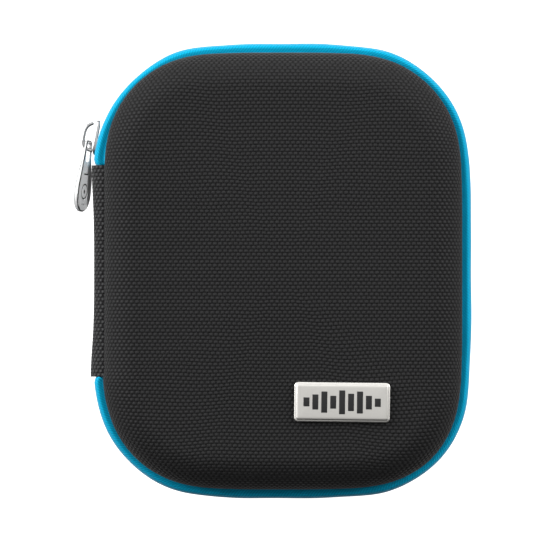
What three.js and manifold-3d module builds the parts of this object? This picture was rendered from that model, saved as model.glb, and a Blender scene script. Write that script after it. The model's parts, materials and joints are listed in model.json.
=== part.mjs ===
// Zipped, moulded carrying case for small audio gear: two cloth-covered foam shells joined by a
// cloth spine on the left and closed by a coil zip that runs round the other three sides.
// Millimetres, +Z up. The case lies on its back: the base is below, the lid above, the spine at -X.
// The origin is the middle of the flat underside. "Inset" is a distance inwards from the outermost
// outline of the case, and "height" is a distance away from its mid plane, where the zip runs.
import * as THREE from 'three';
import { mergeVertices } from 'three/addons/utils/BufferGeometryUtils.js';
import Module from 'manifold-3d';

const wasm = await Module();
wasm.setup();

// ---- Case ----
const WIDTH = 100;
const LENGTH = 120.4;
const CORNER_RADIUS = 33.5;
const HALF_HEIGHT = 21;
const MID_Z = HALF_HEIGHT;
const LID_CROWN = 0.5;
const EDGE_RADIUS = 9;
const RIM_HEIGHT = 8;
const WALL_INSET = 2.35;
const CORNER_STEPS = 7;
const EDGE_STEPS = 4;
const CROWN_RINGS = [0.7, 0.4, 0.15];

// ---- Layers of a shell, from the outside in ----
const GAP = 0.2;
const COVER_THICKNESS = 0.6;
const FOAM_THICKNESS = 2.8;
const LINING_THICKNESS = 0.5;
const FOAM_DEPTH = COVER_THICKNESS + GAP;
const LINING_DEPTH = FOAM_DEPTH + FOAM_THICKNESS + GAP;
const LINING_FACE = LINING_DEPTH + LINING_THICKNESS;

// ---- Zip band ----
const TAPE_THICKNESS = 0.5;
const ZIP_END_ANGLE = 3.4;
const COIL_INSET = [0.1, 1.25];
const COIL_HEIGHT = [0.75, 2.1];
const COIL_GAP = 0.15;
const FLANGE_HEIGHT = 7.45;
const FLANGE_INSET = 5.6;

// ---- Rim binding, an L-shaped strip inside each rim ----
const BINDING_HEIGHT = [6.5, 7.0, 12];
const BINDING_INSET = [3.4, 6.85, 7.45];

// ---- Spine ----
const SPINE_LENGTH = 56;
const SPINE_THICKNESS = 0.6;
const SPINE_LINING_THICKNESS = 0.4;

// ---- Pocket inside the lid ----
const POCKET_HEIGHT = 9.3;
const POCKET_THICKNESS = 0.5;
const POCKET_INSET = BINDING_INSET[2] + GAP;
const POCKET_TOP_Y = 10;
const ELASTIC_WIDTH = 5.5;
const ELASTIC_THICKNESS = 1.2;

// ---- Zip slider; lengths along its travel, radii from the centre of the corner that it rides ----
const SLIDER_ANGLE = 165.3;
const SLIDER_SKEW = 3.8;
const SLIDER_LENGTH = 9.2;
const SLIDER_FRONT_WIDTH = 6.8;
const SLIDER_REAR_WIDTH = 5.8;
const SLIDER_CORNER = 1.3;
const OUTER_PLATE = [33.6, 34.4];
const OUTER_PLATE_END = 1.3;
const OUTER_PLATE_LIFT = 0.25;
const INNER_PLATE = [29.6, 30.5];
const SLIDER_MID_RADIUS = 34.2;
const LIP_RADIUS = 32.5;
const LIP_WIDTH = 0.9;
const POST_WIDTH = 1.0;
const POST_LENGTH = 2.2;
const POST_CENTRE = 2.3;

// ---- Crown, the arch on the slider that holds the pull ----
const CROWN_FOOT = 34.7;
const CROWN_FREE_END = 35.3;
const CROWN_TOP = 37.8;
const CROWN_BAND = 0.9;
const CROWN_HALF_LENGTH = 4.1;
const CROWN_WIDTH = 1.5;
const CROWN_BEND = 2.4;
const CROWN_INNER_BEND = 1.5;

// ---- Pull tab; its length runs from the pivot to the tip ----
const PIVOT_RADIUS = 35.8;
const PIVOT_TRAVEL = 1.5;
const TAB_LEAN = 6.7;
const TAB_TWIST = 22;
const TAB_THICKNESS = 0.9;
const TAB_TIP = 18.6;
const TAB_BAR = 0.45;
const TAB_FLAT = 0.9;
const TAB_TOP = [1.85, 0.8];
const TAB_NECK = [2.45, 4.6];
const TAB_WAIST = [2.8, 7.2];
const TAB_BELLY = [4.4, 14.0];
const TAB_SWELL = 9.4;
const TAB_ROUND = [2.5, 16.9];
const SLOT_HALF_WIDTH = 1.25;
const SLOT_END = 5.2;
const DIMPLE_RADIUS = 2.4;
const DIMPLE_DEPTH = 0.25;
const DIMPLE_CENTRE = 13.4;

// ---- Badge on the lid ----
const BADGE_CENTRE = [15.7, -34.6];
const BADGE_TURN = -0.7;
const BADGE_WIDTH = 25.3;
const BADGE_LENGTH = 10.5;
const BADGE_CORNER = 1.1;
const BADGE_THICKNESS = 0.7;
const INLAY_MARGIN = 0.6;
const INLAY_THICKNESS = 0.3;
const BAR_HEIGHTS = [2.4, 4.0, 5.6, 3.4, 6.3, 4.6, 5.8, 3.6, 2.2];
const BAR_PITCH = 2.35;
const BAR_WIDTH = 1.6;
const BAR_CLEARANCE = 0.12;

// ---- Derived places ----
const CORNER_X = WIDTH / 2 - CORNER_RADIUS;
const CORNER_Y = LENGTH / 2 - CORNER_RADIUS;
const CAP_INSET = WALL_INSET + EDGE_RADIUS;
const LID_EDGE_HEIGHT = HALF_HEIGHT - LID_CROWN;

const radians = THREE.MathUtils.degToRad;

const FINISHES = {
  cover: { color: 0x2b2b2c, roughness: 0.85, metalness: 0 },
  foam: { color: 0x1d1d1f, roughness: 0.9, metalness: 0 },
  lining: { color: 0x17181a, roughness: 0.95, metalness: 0 },
  tape: { color: 0x00a5d7, roughness: 0.7, metalness: 0 },
  coil: { color: 0x0f86b4, roughness: 0.4, metalness: 0 },
  binding: { color: 0x141416, roughness: 0.85, metalness: 0 },
  mesh: { color: 0x101012, roughness: 0.8, metalness: 0 },
  chrome: { color: 0xd8dadb, roughness: 0.15, metalness: 1 },
  satin: { color: 0xcdcbc6, roughness: 0.35, metalness: 1 },
  inlay: { color: 0x2a2a2b, roughness: 0.5, metalness: 0 },
};

function makeMesh(name, finish, geometry) {
  const mesh = new THREE.Mesh(geometry, new THREE.MeshStandardMaterial(FINISHES[finish]));
  mesh.name = name;
  return mesh;
}

// ---- The outline as a list of stations: an anchor on the core rectangle and an outward normal ----

function station(x, y, degrees) {
  const angle = radians(degrees);
  return {
    anchor: new THREE.Vector2(x, y),
    normal: new THREE.Vector2(Math.cos(angle), Math.sin(angle)),
  };
}

function stationPoint(at, inset, z, scale = 1) {
  const point = at.normal.clone().multiplyScalar(CORNER_RADIUS - inset).add(at.anchor);
  return [point.x * scale, point.y * scale, z];
}

function cornerStations(x, y, fromAngle, toAngle) {
  return Array.from({ length: CORNER_STEPS + 1 }, (_, i) => {
    const share = i / CORNER_STEPS;
    return station(x, y, THREE.MathUtils.lerp(fromAngle, toAngle, share));
  });
}

// Clockwise from the upper end of the spine, over the top, down the right side and back.
function outlineStations(endAngle) {
  return [
    ...cornerStations(-CORNER_X, CORNER_Y, 180 - endAngle, 90),
    ...cornerStations(CORNER_X, CORNER_Y, 90, 0),
    ...cornerStations(CORNER_X, -CORNER_Y, 0, -90),
    ...cornerStations(-CORNER_X, -CORNER_Y, -90, endAngle - 180),
  ];
}

const ROUND_THE_CASE = outlineStations(0);
const ALONG_THE_ZIP = outlineStations(ZIP_END_ANGLE);
const ALONG_THE_SPINE = [
  station(-CORNER_X, SPINE_LENGTH / 2, 180),
  station(-CORNER_X, -SPINE_LENGTH / 2, 180),
];

// ---- Closed bodies from rings of points ----

function signedVolume(points, triangles) {
  const corner = (i) => new THREE.Vector3(...points[i]);
  return triangles.reduce((sum, [a, b, c]) => sum + corner(a).dot(corner(b).cross(corner(c))), 0);
}

function bodyFromTriangles(points, triangles) {
  const inwards = signedVolume(points, triangles) < 0;
  const faces = inwards ? triangles.map(([a, b, c]) => [a, c, b]) : triangles;
  const geometry = new THREE.BufferGeometry();
  geometry.setAttribute('position', new THREE.Float32BufferAttribute(points.flat(), 3));
  geometry.setIndex(faces.flat());
  return geometry;
}

// Joins each ring to the next; rings all hold the same number of points.
function bandTriangles(ringCount, ringSize, loops) {
  const triangles = [];
  const lastRing = loops ? ringCount : ringCount - 1;
  for (let ring = 0; ring < lastRing; ring += 1) {
    const near = ring * ringSize;
    const far = ((ring + 1) % ringCount) * ringSize;
    for (let i = 0; i < ringSize; i += 1) {
      const next = (i + 1) % ringSize;
      triangles.push([near + i, near + next, far + next]);
      triangles.push([near + i, far + next, far + i]);
    }
  }
  return triangles;
}

// Fills a ring flat; alongRing says whether the faces turn the same way as the ring's points.
function flatCap(corners, firstIndex, alongRing) {
  const faces = THREE.ShapeUtils.triangulateShape(corners, []);
  const ringClockwise = THREE.ShapeUtils.isClockWise(corners);
  const faceClockwise = THREE.ShapeUtils.isClockWise(faces[0].map((i) => corners[i]));
  const flipped = (ringClockwise === faceClockwise) !== alongRing;
  return faces.map(([a, b, c]) => {
    const face = flipped ? [a, c, b] : [a, b, c];
    return face.map((i) => i + firstIndex);
  });
}

function cappedBody(rings, corners) {
  const size = corners.length;
  const last = rings.length - 1;
  const triangles = bandTriangles(rings.length, size, false);
  triangles.push(...flatCap(corners, 0, false));
  triangles.push(...flatCap(corners, last * size, true));
  return bodyFromTriangles(rings.flat(), triangles);
}

// Rings stacked from one cap to the other, each cap filled flat.
function stackedBody(rings) {
  return cappedBody(rings, rings[0].map(([x, y]) => new THREE.Vector2(x, y)));
}

// A closed section of [inset, height] corners carried along stations; side is 1 for the lid's
// half of the case and -1 for the base's.
function sweptBody(stations, section, side, loops) {
  const rings = stations.map((at) => section.map(([inset, height]) => (
    stationPoint(at, inset, MID_Z + side * height)
  )));
  if (loops) {
    return bodyFromTriangles(rings.flat(), bandTriangles(rings.length, section.length, true));
  }
  return cappedBody(rings, section.map((corner) => new THREE.Vector2(...corner)));
}

// A strip of even thickness round a bent centre line, as a closed section.
function stripSection(line, thickness) {
  const points = line.map(([inset, height]) => new THREE.Vector2(inset, height));
  const unit = (from, to) => to.clone().sub(from).normalize();
  const sideways = points.map((point, i) => {
    const before = i > 0 ? unit(points[i - 1], point) : unit(point, points[i + 1]);
    const after = i < points.length - 1 ? unit(point, points[i + 1]) : before;
    const along = before.clone().add(after).normalize();
    const stretch = 1 / along.dot(before);
    return new THREE.Vector2(-along.y, along.x).multiplyScalar(stretch * thickness / 2);
  });
  const left = points.map((point, i) => point.clone().add(sideways[i]).toArray());
  const right = points.map((point, i) => point.clone().sub(sideways[i]).toArray());
  return [...left, ...right.reverse()];
}

// ---- Booleans ----

function toSolid(geometry) {
  const bare = geometry.clone();
  bare.deleteAttribute('normal');
  bare.deleteAttribute('uv');
  const merged = mergeVertices(bare, 1e-4);
  return new wasm.Manifold(new wasm.Mesh({
    numProp: 3,
    vertProperties: new Float32Array(merged.attributes.position.array),
    triVerts: new Uint32Array(merged.index.array),
  }));
}

function toGeometry(solid) {
  const mesh = solid.getMesh();
  const geometry = new THREE.BufferGeometry();
  geometry.setAttribute('position', new THREE.BufferAttribute(mesh.vertProperties, 3));
  geometry.setIndex(new THREE.BufferAttribute(mesh.triVerts, 1));
  return geometry;
}

function joined(geometries) {
  return toGeometry(geometries.map(toSolid).reduce((whole, piece) => whole.add(piece)));
}

// ---- Shells ----

// The surface at one depth below the cloth's face, from the rim to the middle of the cap.
function shellRings(side, depth) {
  const crowned = side > 0;
  const edgeHeight = crowned ? LID_EDGE_HEIGHT : HALF_HEIGHT;
  const radius = EDGE_RADIUS - depth;
  const ringAt = (inset, height, scale) => ROUND_THE_CASE.map((at) => (
    stationPoint(at, inset, MID_Z + side * height, scale)
  ));
  const rings = [ringAt(WALL_INSET + depth, RIM_HEIGHT)];
  for (let step = 0; step <= EDGE_STEPS; step += 1) {
    const turn = (Math.PI / 2) * (step / EDGE_STEPS);
    const inset = CAP_INSET - radius * Math.cos(turn);
    rings.push(ringAt(inset, edgeHeight - EDGE_RADIUS + radius * Math.sin(turn)));
  }
  if (crowned) {
    CROWN_RINGS.forEach((scale) => {
      const rise = LID_CROWN * (1 - scale * scale);
      rings.push(ringAt(CAP_INSET, edgeHeight - depth + rise, scale));
    });
  }
  return rings;
}

function shellLayer(side, depth, thickness) {
  const outer = shellRings(side, depth);
  const inner = shellRings(side, depth + thickness);
  return stackedBody([...outer.reverse(), ...inner]);
}

function fabricCover(name, side) {
  return makeMesh(name, 'cover', shellLayer(side, 0, COVER_THICKNESS));
}

function foamShell(name, side) {
  return makeMesh(name, 'foam', shellLayer(side, FOAM_DEPTH, FOAM_THICKNESS));
}

function lining(name, side) {
  return makeMesh(name, 'lining', shellLayer(side, LINING_DEPTH, LINING_THICKNESS));
}

function rimBinding(name, side) {
  const [tail, wallFace, roomFace] = BINDING_INSET;
  const [low, step, high] = BINDING_HEIGHT;
  const section = [
    [tail, low],
    [roomFace, low],
    [roomFace, high],
    [wallFace, high],
    [wallFace, step],
    [tail, step],
  ];
  return makeMesh(name, 'binding', sweptBody(ROUND_THE_CASE, section, side, true));
}

// ---- Zip ----

// From the coil outwards over the bulge that hides it, then in under the shell's rim.
function zipTape(name, side) {
  const coilSeat = COIL_INSET[1] + COIL_GAP + TAPE_THICKNESS / 2;
  const bulge = TAPE_THICKNESS / 2;
  const line = [
    [coilSeat, 1.0],
    [coilSeat, 3.3],
    [0.75, 4.1],
    [bulge, 5.1],
    [0.75, 6.3],
    [2.0, 7.25],
    [3.0, FLANGE_HEIGHT],
    [FLANGE_INSET, FLANGE_HEIGHT],
  ];
  const section = stripSection(line, TAPE_THICKNESS);
  return makeMesh(name, 'tape', sweptBody(ALONG_THE_ZIP, section, side, false));
}

function zipCoil(name, side) {
  const section = [
    [COIL_INSET[0], COIL_HEIGHT[0]],
    [COIL_INSET[1], COIL_HEIGHT[0]],
    [COIL_INSET[1], COIL_HEIGHT[1]],
    [COIL_INSET[0], COIL_HEIGHT[1]],
  ];
  return makeMesh(name, 'coil', sweptBody(ALONG_THE_ZIP, section, side, false));
}

// ---- Spine ----

function spineWebbing() {
  const upper = [
    [FLANGE_INSET, FLANGE_HEIGHT],
    [3.0, FLANGE_HEIGHT],
    [2.0, 7.2],
    [0.7, 6.2],
    [0.1, 4.6],
    [0.1, 2.0],
  ];
  const lower = upper.map(([inset, height]) => [inset, -height]).reverse();
  const section = stripSection([...upper, ...lower], SPINE_THICKNESS);
  return makeMesh('spine_webbing', 'cover', sweptBody(ALONG_THE_SPINE, section, 1, false));
}

function spineLining() {
  const line = [[3.2, 6.1], [1.8, 5.0], [1.8, -5.0], [3.2, -6.1]];
  const section = stripSection(line, SPINE_LINING_THICKNESS);
  return makeMesh('spine_lining', 'lining', sweptBody(ALONG_THE_SPINE, section, 1, false));
}

// ---- Pocket in the lid ----

function meshPocket() {
  const shape = new THREE.Shape();
  const radius = CORNER_RADIUS - POCKET_INSET;
  const side = WIDTH / 2 - POCKET_INSET;
  shape.moveTo(-side, POCKET_TOP_Y);
  shape.absarc(-CORNER_X, -CORNER_Y, radius, Math.PI, 1.5 * Math.PI, false);
  shape.absarc(CORNER_X, -CORNER_Y, radius, 1.5 * Math.PI, 2 * Math.PI, false);
  shape.lineTo(side, POCKET_TOP_Y);
  const options = { depth: POCKET_THICKNESS, bevelEnabled: false, curveSegments: CORNER_STEPS };
  const geometry = new THREE.ExtrudeGeometry(shape, options);
  const mesh = makeMesh('mesh_pocket', 'mesh', geometry);
  mesh.position.z = MID_Z + POCKET_HEIGHT;
  return mesh;
}

function pocketElastic() {
  const span = WIDTH - 2 * POCKET_INSET;
  const geometry = new THREE.BoxGeometry(span, ELASTIC_WIDTH, ELASTIC_THICKNESS);
  const mesh = makeMesh('pocket_elastic', 'binding', geometry);
  const height = POCKET_HEIGHT + POCKET_THICKNESS / 2;
  mesh.position.set(0, POCKET_TOP_Y + GAP + ELASTIC_WIDTH / 2, MID_Z + height);
  return mesh;
}

// ---- Slider, in a frame where +X points out of the case, +Y along the zip towards the spine ----

// Turns a shape drawn in travel and height, extruded upwards, so that it is extruded outwards.
function extrudedOutwards(shape, [fromRadius, toRadius]) {
  const options = { depth: toRadius - fromRadius, bevelEnabled: false, curveSegments: 4 };
  const geometry = new THREE.ExtrudeGeometry(shape, options);
  const travel = new THREE.Vector3(0, 1, 0);
  const height = new THREE.Vector3(0, 0, 1);
  const outwards = new THREE.Vector3(1, 0, 0);
  geometry.applyMatrix4(new THREE.Matrix4().makeBasis(travel, height, outwards));
  return geometry.translate(fromRadius - SLIDER_MID_RADIUS, 0, 0);
}

function plateShape() {
  const rear = -SLIDER_LENGTH / 2;
  const front = SLIDER_LENGTH / 2;
  const narrow = SLIDER_REAR_WIDTH / 2;
  const wide = SLIDER_FRONT_WIDTH / 2;
  const shape = new THREE.Shape();
  shape.moveTo(rear + SLIDER_CORNER, -narrow);
  shape.lineTo(0, -wide);
  shape.lineTo(front - SLIDER_CORNER, -wide);
  shape.quadraticCurveTo(front, -wide, front, SLIDER_CORNER - wide);
  shape.lineTo(front, wide - SLIDER_CORNER);
  shape.quadraticCurveTo(front, wide, front - SLIDER_CORNER, wide);
  shape.lineTo(0, wide);
  shape.lineTo(rear + SLIDER_CORNER, narrow);
  shape.quadraticCurveTo(rear, narrow, rear, narrow - SLIDER_CORNER);
  shape.lineTo(rear, SLIDER_CORNER - narrow);
  shape.quadraticCurveTo(rear, -narrow, rear + SLIDER_CORNER, -narrow);
  return shape;
}

// One turned-in edge of the outer plate, which keeps the coil in.
function lipShape(sign) {
  const edge = sign * (SLIDER_FRONT_WIDTH / 2);
  const inner = edge - sign * LIP_WIDTH;
  const front = SLIDER_LENGTH / 2 - SLIDER_CORNER;
  const shape = new THREE.Shape();
  shape.moveTo(0, edge);
  shape.lineTo(front, edge);
  shape.lineTo(front, inner);
  shape.lineTo(0, inner);
  return shape;
}

function postShape() {
  const half = POST_LENGTH / 2;
  const shape = new THREE.Shape();
  shape.moveTo(POST_CENTRE - half, 0);
  shape.lineTo(POST_CENTRE, -POST_WIDTH / 2);
  shape.lineTo(POST_CENTRE + half, -POST_WIDTH / 2);
  shape.lineTo(POST_CENTRE + half, POST_WIDTH / 2);
  shape.lineTo(POST_CENTRE, POST_WIDTH / 2);
  return shape;
}

// The outer plate seen from the side: lifted at the rear end, drawn in at the front end.
function plateProfile() {
  const [under, top] = OUTER_PLATE.map((radius) => radius - SLIDER_MID_RADIUS);
  const end = SLIDER_LENGTH / 2;
  const shape = new THREE.Shape();
  shape.moveTo(under + OUTER_PLATE_LIFT, -end);
  shape.lineTo(under, OUTER_PLATE_END - end);
  shape.lineTo(under, end);
  shape.lineTo(top - 2 * OUTER_PLATE_LIFT, end);
  shape.lineTo(top, end - OUTER_PLATE_END);
  shape.lineTo(top, OUTER_PLATE_END - end);
  shape.lineTo(top + OUTER_PLATE_LIFT, -end);
  const options = { depth: SLIDER_FRONT_WIDTH, bevelEnabled: false };
  const geometry = new THREE.ExtrudeGeometry(shape, options);
  return geometry.translate(0, 0, -SLIDER_FRONT_WIDTH / 2);
}

function outerPlate() {
  const reach = [OUTER_PLATE[0] - 1, OUTER_PLATE[1] + 1];
  const outline = toSolid(extrudedOutwards(plateShape(), reach));
  return toGeometry(toSolid(plateProfile()).intersect(outline));
}

function sliderBody() {
  const lap = 0.2;
  const geometry = joined([
    outerPlate(),
    extrudedOutwards(plateShape(), INNER_PLATE),
    extrudedOutwards(postShape(), [INNER_PLATE[1] - lap, OUTER_PLATE[0] + lap]),
    extrudedOutwards(lipShape(1), [LIP_RADIUS, OUTER_PLATE[0] + lap]),
    extrudedOutwards(lipShape(-1), [LIP_RADIUS, OUTER_PLATE[0] + lap]),
  ]);
  return makeMesh('slider_body', 'chrome', geometry);
}

// The arch is drawn as one bent band: out over the top and back underneath. Its front foot
// stands on the plate and its rear end hangs free.
function sliderCrown() {
  const shape = new THREE.Shape();
  const foot = CROWN_FOOT - SLIDER_MID_RADIUS;
  const freeEnd = CROWN_FREE_END - SLIDER_MID_RADIUS;
  const top = CROWN_TOP - SLIDER_MID_RADIUS;
  const under = top - CROWN_BAND;
  const outer = CROWN_HALF_LENGTH;
  const inner = CROWN_HALF_LENGTH - CROWN_BAND;
  shape.moveTo(freeEnd, -outer);
  shape.lineTo(top - CROWN_BEND, -outer);
  shape.quadraticCurveTo(top, -outer, top, CROWN_BEND - outer);
  shape.lineTo(top, outer - CROWN_BEND);
  shape.quadraticCurveTo(top, outer, top - CROWN_BEND, outer);
  shape.lineTo(foot, outer);
  shape.lineTo(foot, inner);
  shape.lineTo(under - CROWN_INNER_BEND, inner);
  shape.quadraticCurveTo(under, inner, under, inner - CROWN_INNER_BEND);
  shape.lineTo(under, CROWN_INNER_BEND - inner);
  shape.quadraticCurveTo(under, -inner, under - CROWN_INNER_BEND, -inner);
  shape.lineTo(freeEnd, -inner);
  const options = { depth: CROWN_WIDTH, bevelEnabled: false, curveSegments: 4 };
  const geometry = new THREE.ExtrudeGeometry(shape, options);
  return makeMesh('slider_crown', 'chrome', geometry.translate(0, 0, -CROWN_WIDTH / 2));
}

// ---- Pull tab, drawn with its width along x and its length along y, the pivot at the origin ----

function tabShape() {
  const [belly, bellyEnd] = TAB_BELLY;
  const shape = new THREE.Shape();
  shape.moveTo(-TAB_FLAT, -TAB_BAR);
  shape.lineTo(TAB_FLAT, -TAB_BAR);
  shape.quadraticCurveTo(TAB_TOP[0], -TAB_BAR, ...TAB_TOP);
  shape.lineTo(...TAB_NECK);
  shape.bezierCurveTo(...TAB_WAIST, belly, TAB_SWELL, belly, bellyEnd);
  shape.bezierCurveTo(belly, TAB_ROUND[1], TAB_ROUND[0], TAB_TIP, 0, TAB_TIP);
  shape.bezierCurveTo(-TAB_ROUND[0], TAB_TIP, -belly, TAB_ROUND[1], -belly, bellyEnd);
  shape.bezierCurveTo(-belly, TAB_SWELL, -TAB_WAIST[0], TAB_WAIST[1], -TAB_NECK[0], TAB_NECK[1]);
  shape.lineTo(-TAB_TOP[0], TAB_TOP[1]);
  shape.quadraticCurveTo(-TAB_TOP[0], -TAB_BAR, -TAB_FLAT, -TAB_BAR);
  shape.holes.push(tabSlot());
  return shape;
}

function tabSlot() {
  const slot = new THREE.Path();
  slot.moveTo(-SLOT_HALF_WIDTH, TAB_BAR);
  slot.lineTo(SLOT_HALF_WIDTH, TAB_BAR);
  slot.lineTo(SLOT_HALF_WIDTH, TAB_NECK[1]);
  slot.quadraticCurveTo(SLOT_HALF_WIDTH, SLOT_END, 0, SLOT_END);
  slot.quadraticCurveTo(-SLOT_HALF_WIDTH, SLOT_END, -SLOT_HALF_WIDTH, TAB_NECK[1]);
  return slot;
}

// A plain round hollow on the face that looks at the case.
function tabDimple() {
  const height = DIMPLE_DEPTH * 2;
  const cutter = new THREE.CylinderGeometry(DIMPLE_RADIUS, DIMPLE_RADIUS, height, 20);
  cutter.rotateX(Math.PI / 2);
  return cutter.translate(0, DIMPLE_CENTRE, TAB_THICKNESS / 2);
}

function pullTab() {
  const options = { depth: TAB_THICKNESS, bevelEnabled: false, curveSegments: 6 };
  const plate = new THREE.ExtrudeGeometry(tabShape(), options);
  plate.translate(0, 0, -TAB_THICKNESS / 2);
  const solid = toSolid(plate).subtract(toSolid(tabDimple()));
  return makeMesh('pull_tab', 'chrome', toGeometry(solid));
}

// The tab hangs down beside the case, its upper edge swung out so that its inner face looks up.
function hangTab(tab, direction) {
  const length = new THREE.Vector3(Math.cos(direction), Math.sin(direction), 0);
  const outwards = new THREE.Vector3(length.y, -length.x, 0);
  const width = new THREE.Vector3(0, 0, Math.cos(radians(TAB_TWIST)));
  width.addScaledVector(outwards, Math.sin(radians(TAB_TWIST)));
  const face = new THREE.Vector3().crossVectors(width, length);
  tab.quaternion.setFromRotationMatrix(new THREE.Matrix4().makeBasis(width, length, face));
}

function sliderGroup() {
  const slider = new THREE.Group();
  slider.position.x = SLIDER_MID_RADIUS;
  slider.rotation.z = radians(SLIDER_SKEW);
  const tab = pullTab();
  tab.position.set(PIVOT_RADIUS - SLIDER_MID_RADIUS, PIVOT_TRAVEL, 0);
  hangTab(tab, radians(270 - TAB_LEAN - SLIDER_ANGLE - SLIDER_SKEW));
  slider.add(sliderBody(), sliderCrown(), tab);
  const corner = new THREE.Group();
  corner.position.set(-CORNER_X, CORNER_Y, MID_Z);
  corner.rotation.z = radians(SLIDER_ANGLE);
  corner.add(slider);
  return corner;
}

// ---- Badge: a metal plate pierced by level bars, over a dark inlay that fills them ----

function roundedRectangle(width, length, radius) {
  const x = width / 2 - radius;
  const y = length / 2 - radius;
  const shape = new THREE.Shape();
  shape.absarc(x, y, radius, 0, Math.PI / 2, false);
  shape.absarc(-x, y, radius, Math.PI / 2, Math.PI, false);
  shape.absarc(-x, -y, radius, Math.PI, 1.5 * Math.PI, false);
  shape.absarc(x, -y, radius, 1.5 * Math.PI, 2 * Math.PI, false);
  return shape;
}

function barOutline(index, clearance, Outline) {
  const middle = (index - (BAR_HEIGHTS.length - 1) / 2) * BAR_PITCH;
  const half = BAR_WIDTH / 2 - clearance;
  const rise = BAR_HEIGHTS[index] / 2 - clearance;
  const outline = new Outline();
  outline.moveTo(middle - half, -rise);
  outline.lineTo(middle + half, -rise);
  outline.lineTo(middle + half, rise);
  outline.lineTo(middle - half, rise);
  outline.lineTo(middle - half, -rise);
  return outline;
}

function badgePlate() {
  const shape = roundedRectangle(BADGE_WIDTH, BADGE_LENGTH, BADGE_CORNER);
  BAR_HEIGHTS.forEach((_, index) => shape.holes.push(barOutline(index, 0, THREE.Path)));
  const options = { depth: BADGE_THICKNESS, bevelEnabled: false, curveSegments: 4 };
  const mesh = makeMesh('badge_plate', 'satin', new THREE.ExtrudeGeometry(shape, options));
  mesh.position.z = INLAY_THICKNESS + GAP / 2;
  return mesh;
}

function badgeInlay() {
  const width = BADGE_WIDTH - 2 * INLAY_MARGIN;
  const length = BADGE_LENGTH - 2 * INLAY_MARGIN;
  const sheet = { depth: INLAY_THICKNESS, bevelEnabled: false, curveSegments: 4 };
  const raised = { depth: BADGE_THICKNESS + GAP / 2, bevelEnabled: false };
  const backing = new THREE.ExtrudeGeometry(roundedRectangle(width, length, BADGE_CORNER), sheet);
  const bars = BAR_HEIGHTS.map((_, index) => {
    const bar = new THREE.ExtrudeGeometry(barOutline(index, BAR_CLEARANCE, THREE.Shape), raised);
    return bar.translate(0, 0, GAP / 2);
  });
  return makeMesh('badge_inlay', 'inlay', joined([backing, ...bars]));
}

function badgeGroup() {
  const group = new THREE.Group();
  group.position.set(...BADGE_CENTRE, 2 * HALF_HEIGHT);
  group.rotation.z = radians(BADGE_TURN);
  group.add(badgeInlay(), badgePlate());
  return group;
}

// ---- Assembly ----

const group = new THREE.Group();
[['base', -1], ['lid', 1]].forEach(([half, side]) => {
  group.add(
    fabricCover(`${half}_fabric_cover`, side),
    foamShell(`${half}_foam_shell`, side),
    lining(`${half}_lining`, side),
    rimBinding(`${half}_rim_binding`, side),
    zipTape(`${half}_zip_tape`, side),
    zipCoil(`${half}_zip_coil`, side),
  );
});
group.add(spineWebbing(), spineLining(), meshPocket(), pocketElastic());
group.add(sliderGroup(), badgeGroup());

export default group;
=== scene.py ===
"""Looks of a zipped, moulded carrying case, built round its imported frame.

Shapes are worked out in millimetres in the frame's own axes and put into the meshes in metres.
"Inset" is a distance inwards from the case's outermost outline, "height" a distance away from its
mid plane, and "run" a distance along the outline, clockwise from the upper end of the spine.
"""

import json
import math
from dataclasses import dataclass

import bmesh
import bpy
import numpy as np
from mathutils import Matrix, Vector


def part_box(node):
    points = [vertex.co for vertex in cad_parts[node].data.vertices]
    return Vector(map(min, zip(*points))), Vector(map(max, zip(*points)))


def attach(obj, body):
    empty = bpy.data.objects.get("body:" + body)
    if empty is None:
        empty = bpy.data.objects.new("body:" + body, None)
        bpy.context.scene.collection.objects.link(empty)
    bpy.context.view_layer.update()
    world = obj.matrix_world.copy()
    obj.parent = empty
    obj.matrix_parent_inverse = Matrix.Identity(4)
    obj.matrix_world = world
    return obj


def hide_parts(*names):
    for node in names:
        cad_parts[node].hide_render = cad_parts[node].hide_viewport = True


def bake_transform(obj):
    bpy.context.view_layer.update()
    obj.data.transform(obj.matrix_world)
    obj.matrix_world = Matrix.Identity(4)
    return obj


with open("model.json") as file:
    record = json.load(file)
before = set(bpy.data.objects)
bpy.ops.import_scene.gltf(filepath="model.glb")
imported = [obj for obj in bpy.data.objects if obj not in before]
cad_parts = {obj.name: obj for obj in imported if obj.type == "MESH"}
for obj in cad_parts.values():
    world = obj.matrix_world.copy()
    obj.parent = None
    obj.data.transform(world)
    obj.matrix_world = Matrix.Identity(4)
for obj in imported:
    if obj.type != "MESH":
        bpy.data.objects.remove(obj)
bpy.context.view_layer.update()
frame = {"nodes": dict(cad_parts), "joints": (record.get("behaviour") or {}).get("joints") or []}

bl_info = {
    "name": "Zipped carrying case",
    "version": (1, 0, 0),
    "blender": (4, 5, 0),
    "location": "3D View > Sidebar > Case",
    "description": "Cloth, zip, metal and lining of a moulded zip case",
    "category": "Object",
}

MM = 0.001
SIDES = {"base": -1, "lid": 1}

# Centre line of one half of the zip tape as (inset, height): from under the coil, out over the
# bulge that hides it, and in under the shell's rim.
TAPE_LINE = [
    (1.65, 0.5), (1.65, 2.0), (1.6, 3.3), (0.8, 4.1), (0.27, 5.0), (0.42, 6.1),
    (0.95, 6.95), (1.6, 6.9), (2.2, 6.7), (2.8, 6.75), (3.35, 7.35), (5.6, 7.45),
]
TAPE_THICKNESS = 0.5
# How far round a corner beside the spine the zip ends, in degrees of the corner's turn.
ZIP_END_ANGLE = 3.4

# Centre line of the spine's cloth from its lid edge to its base edge.
SPINE_HALF_LINE = [(5.6, 7.45), (3.0, 7.45), (1.9, 7.1), (0.7, 6.1), (0.1, 4.5), (0.05, 2.0)]
SPINE_THICKNESS = 0.6
SPINE_LINING_HALF_LINE = [(3.2, 6.1), (2.2, 5.6), (1.8, 4.6), (1.8, 2.0)]
SPINE_LINING_THICKNESS = 0.4

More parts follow.
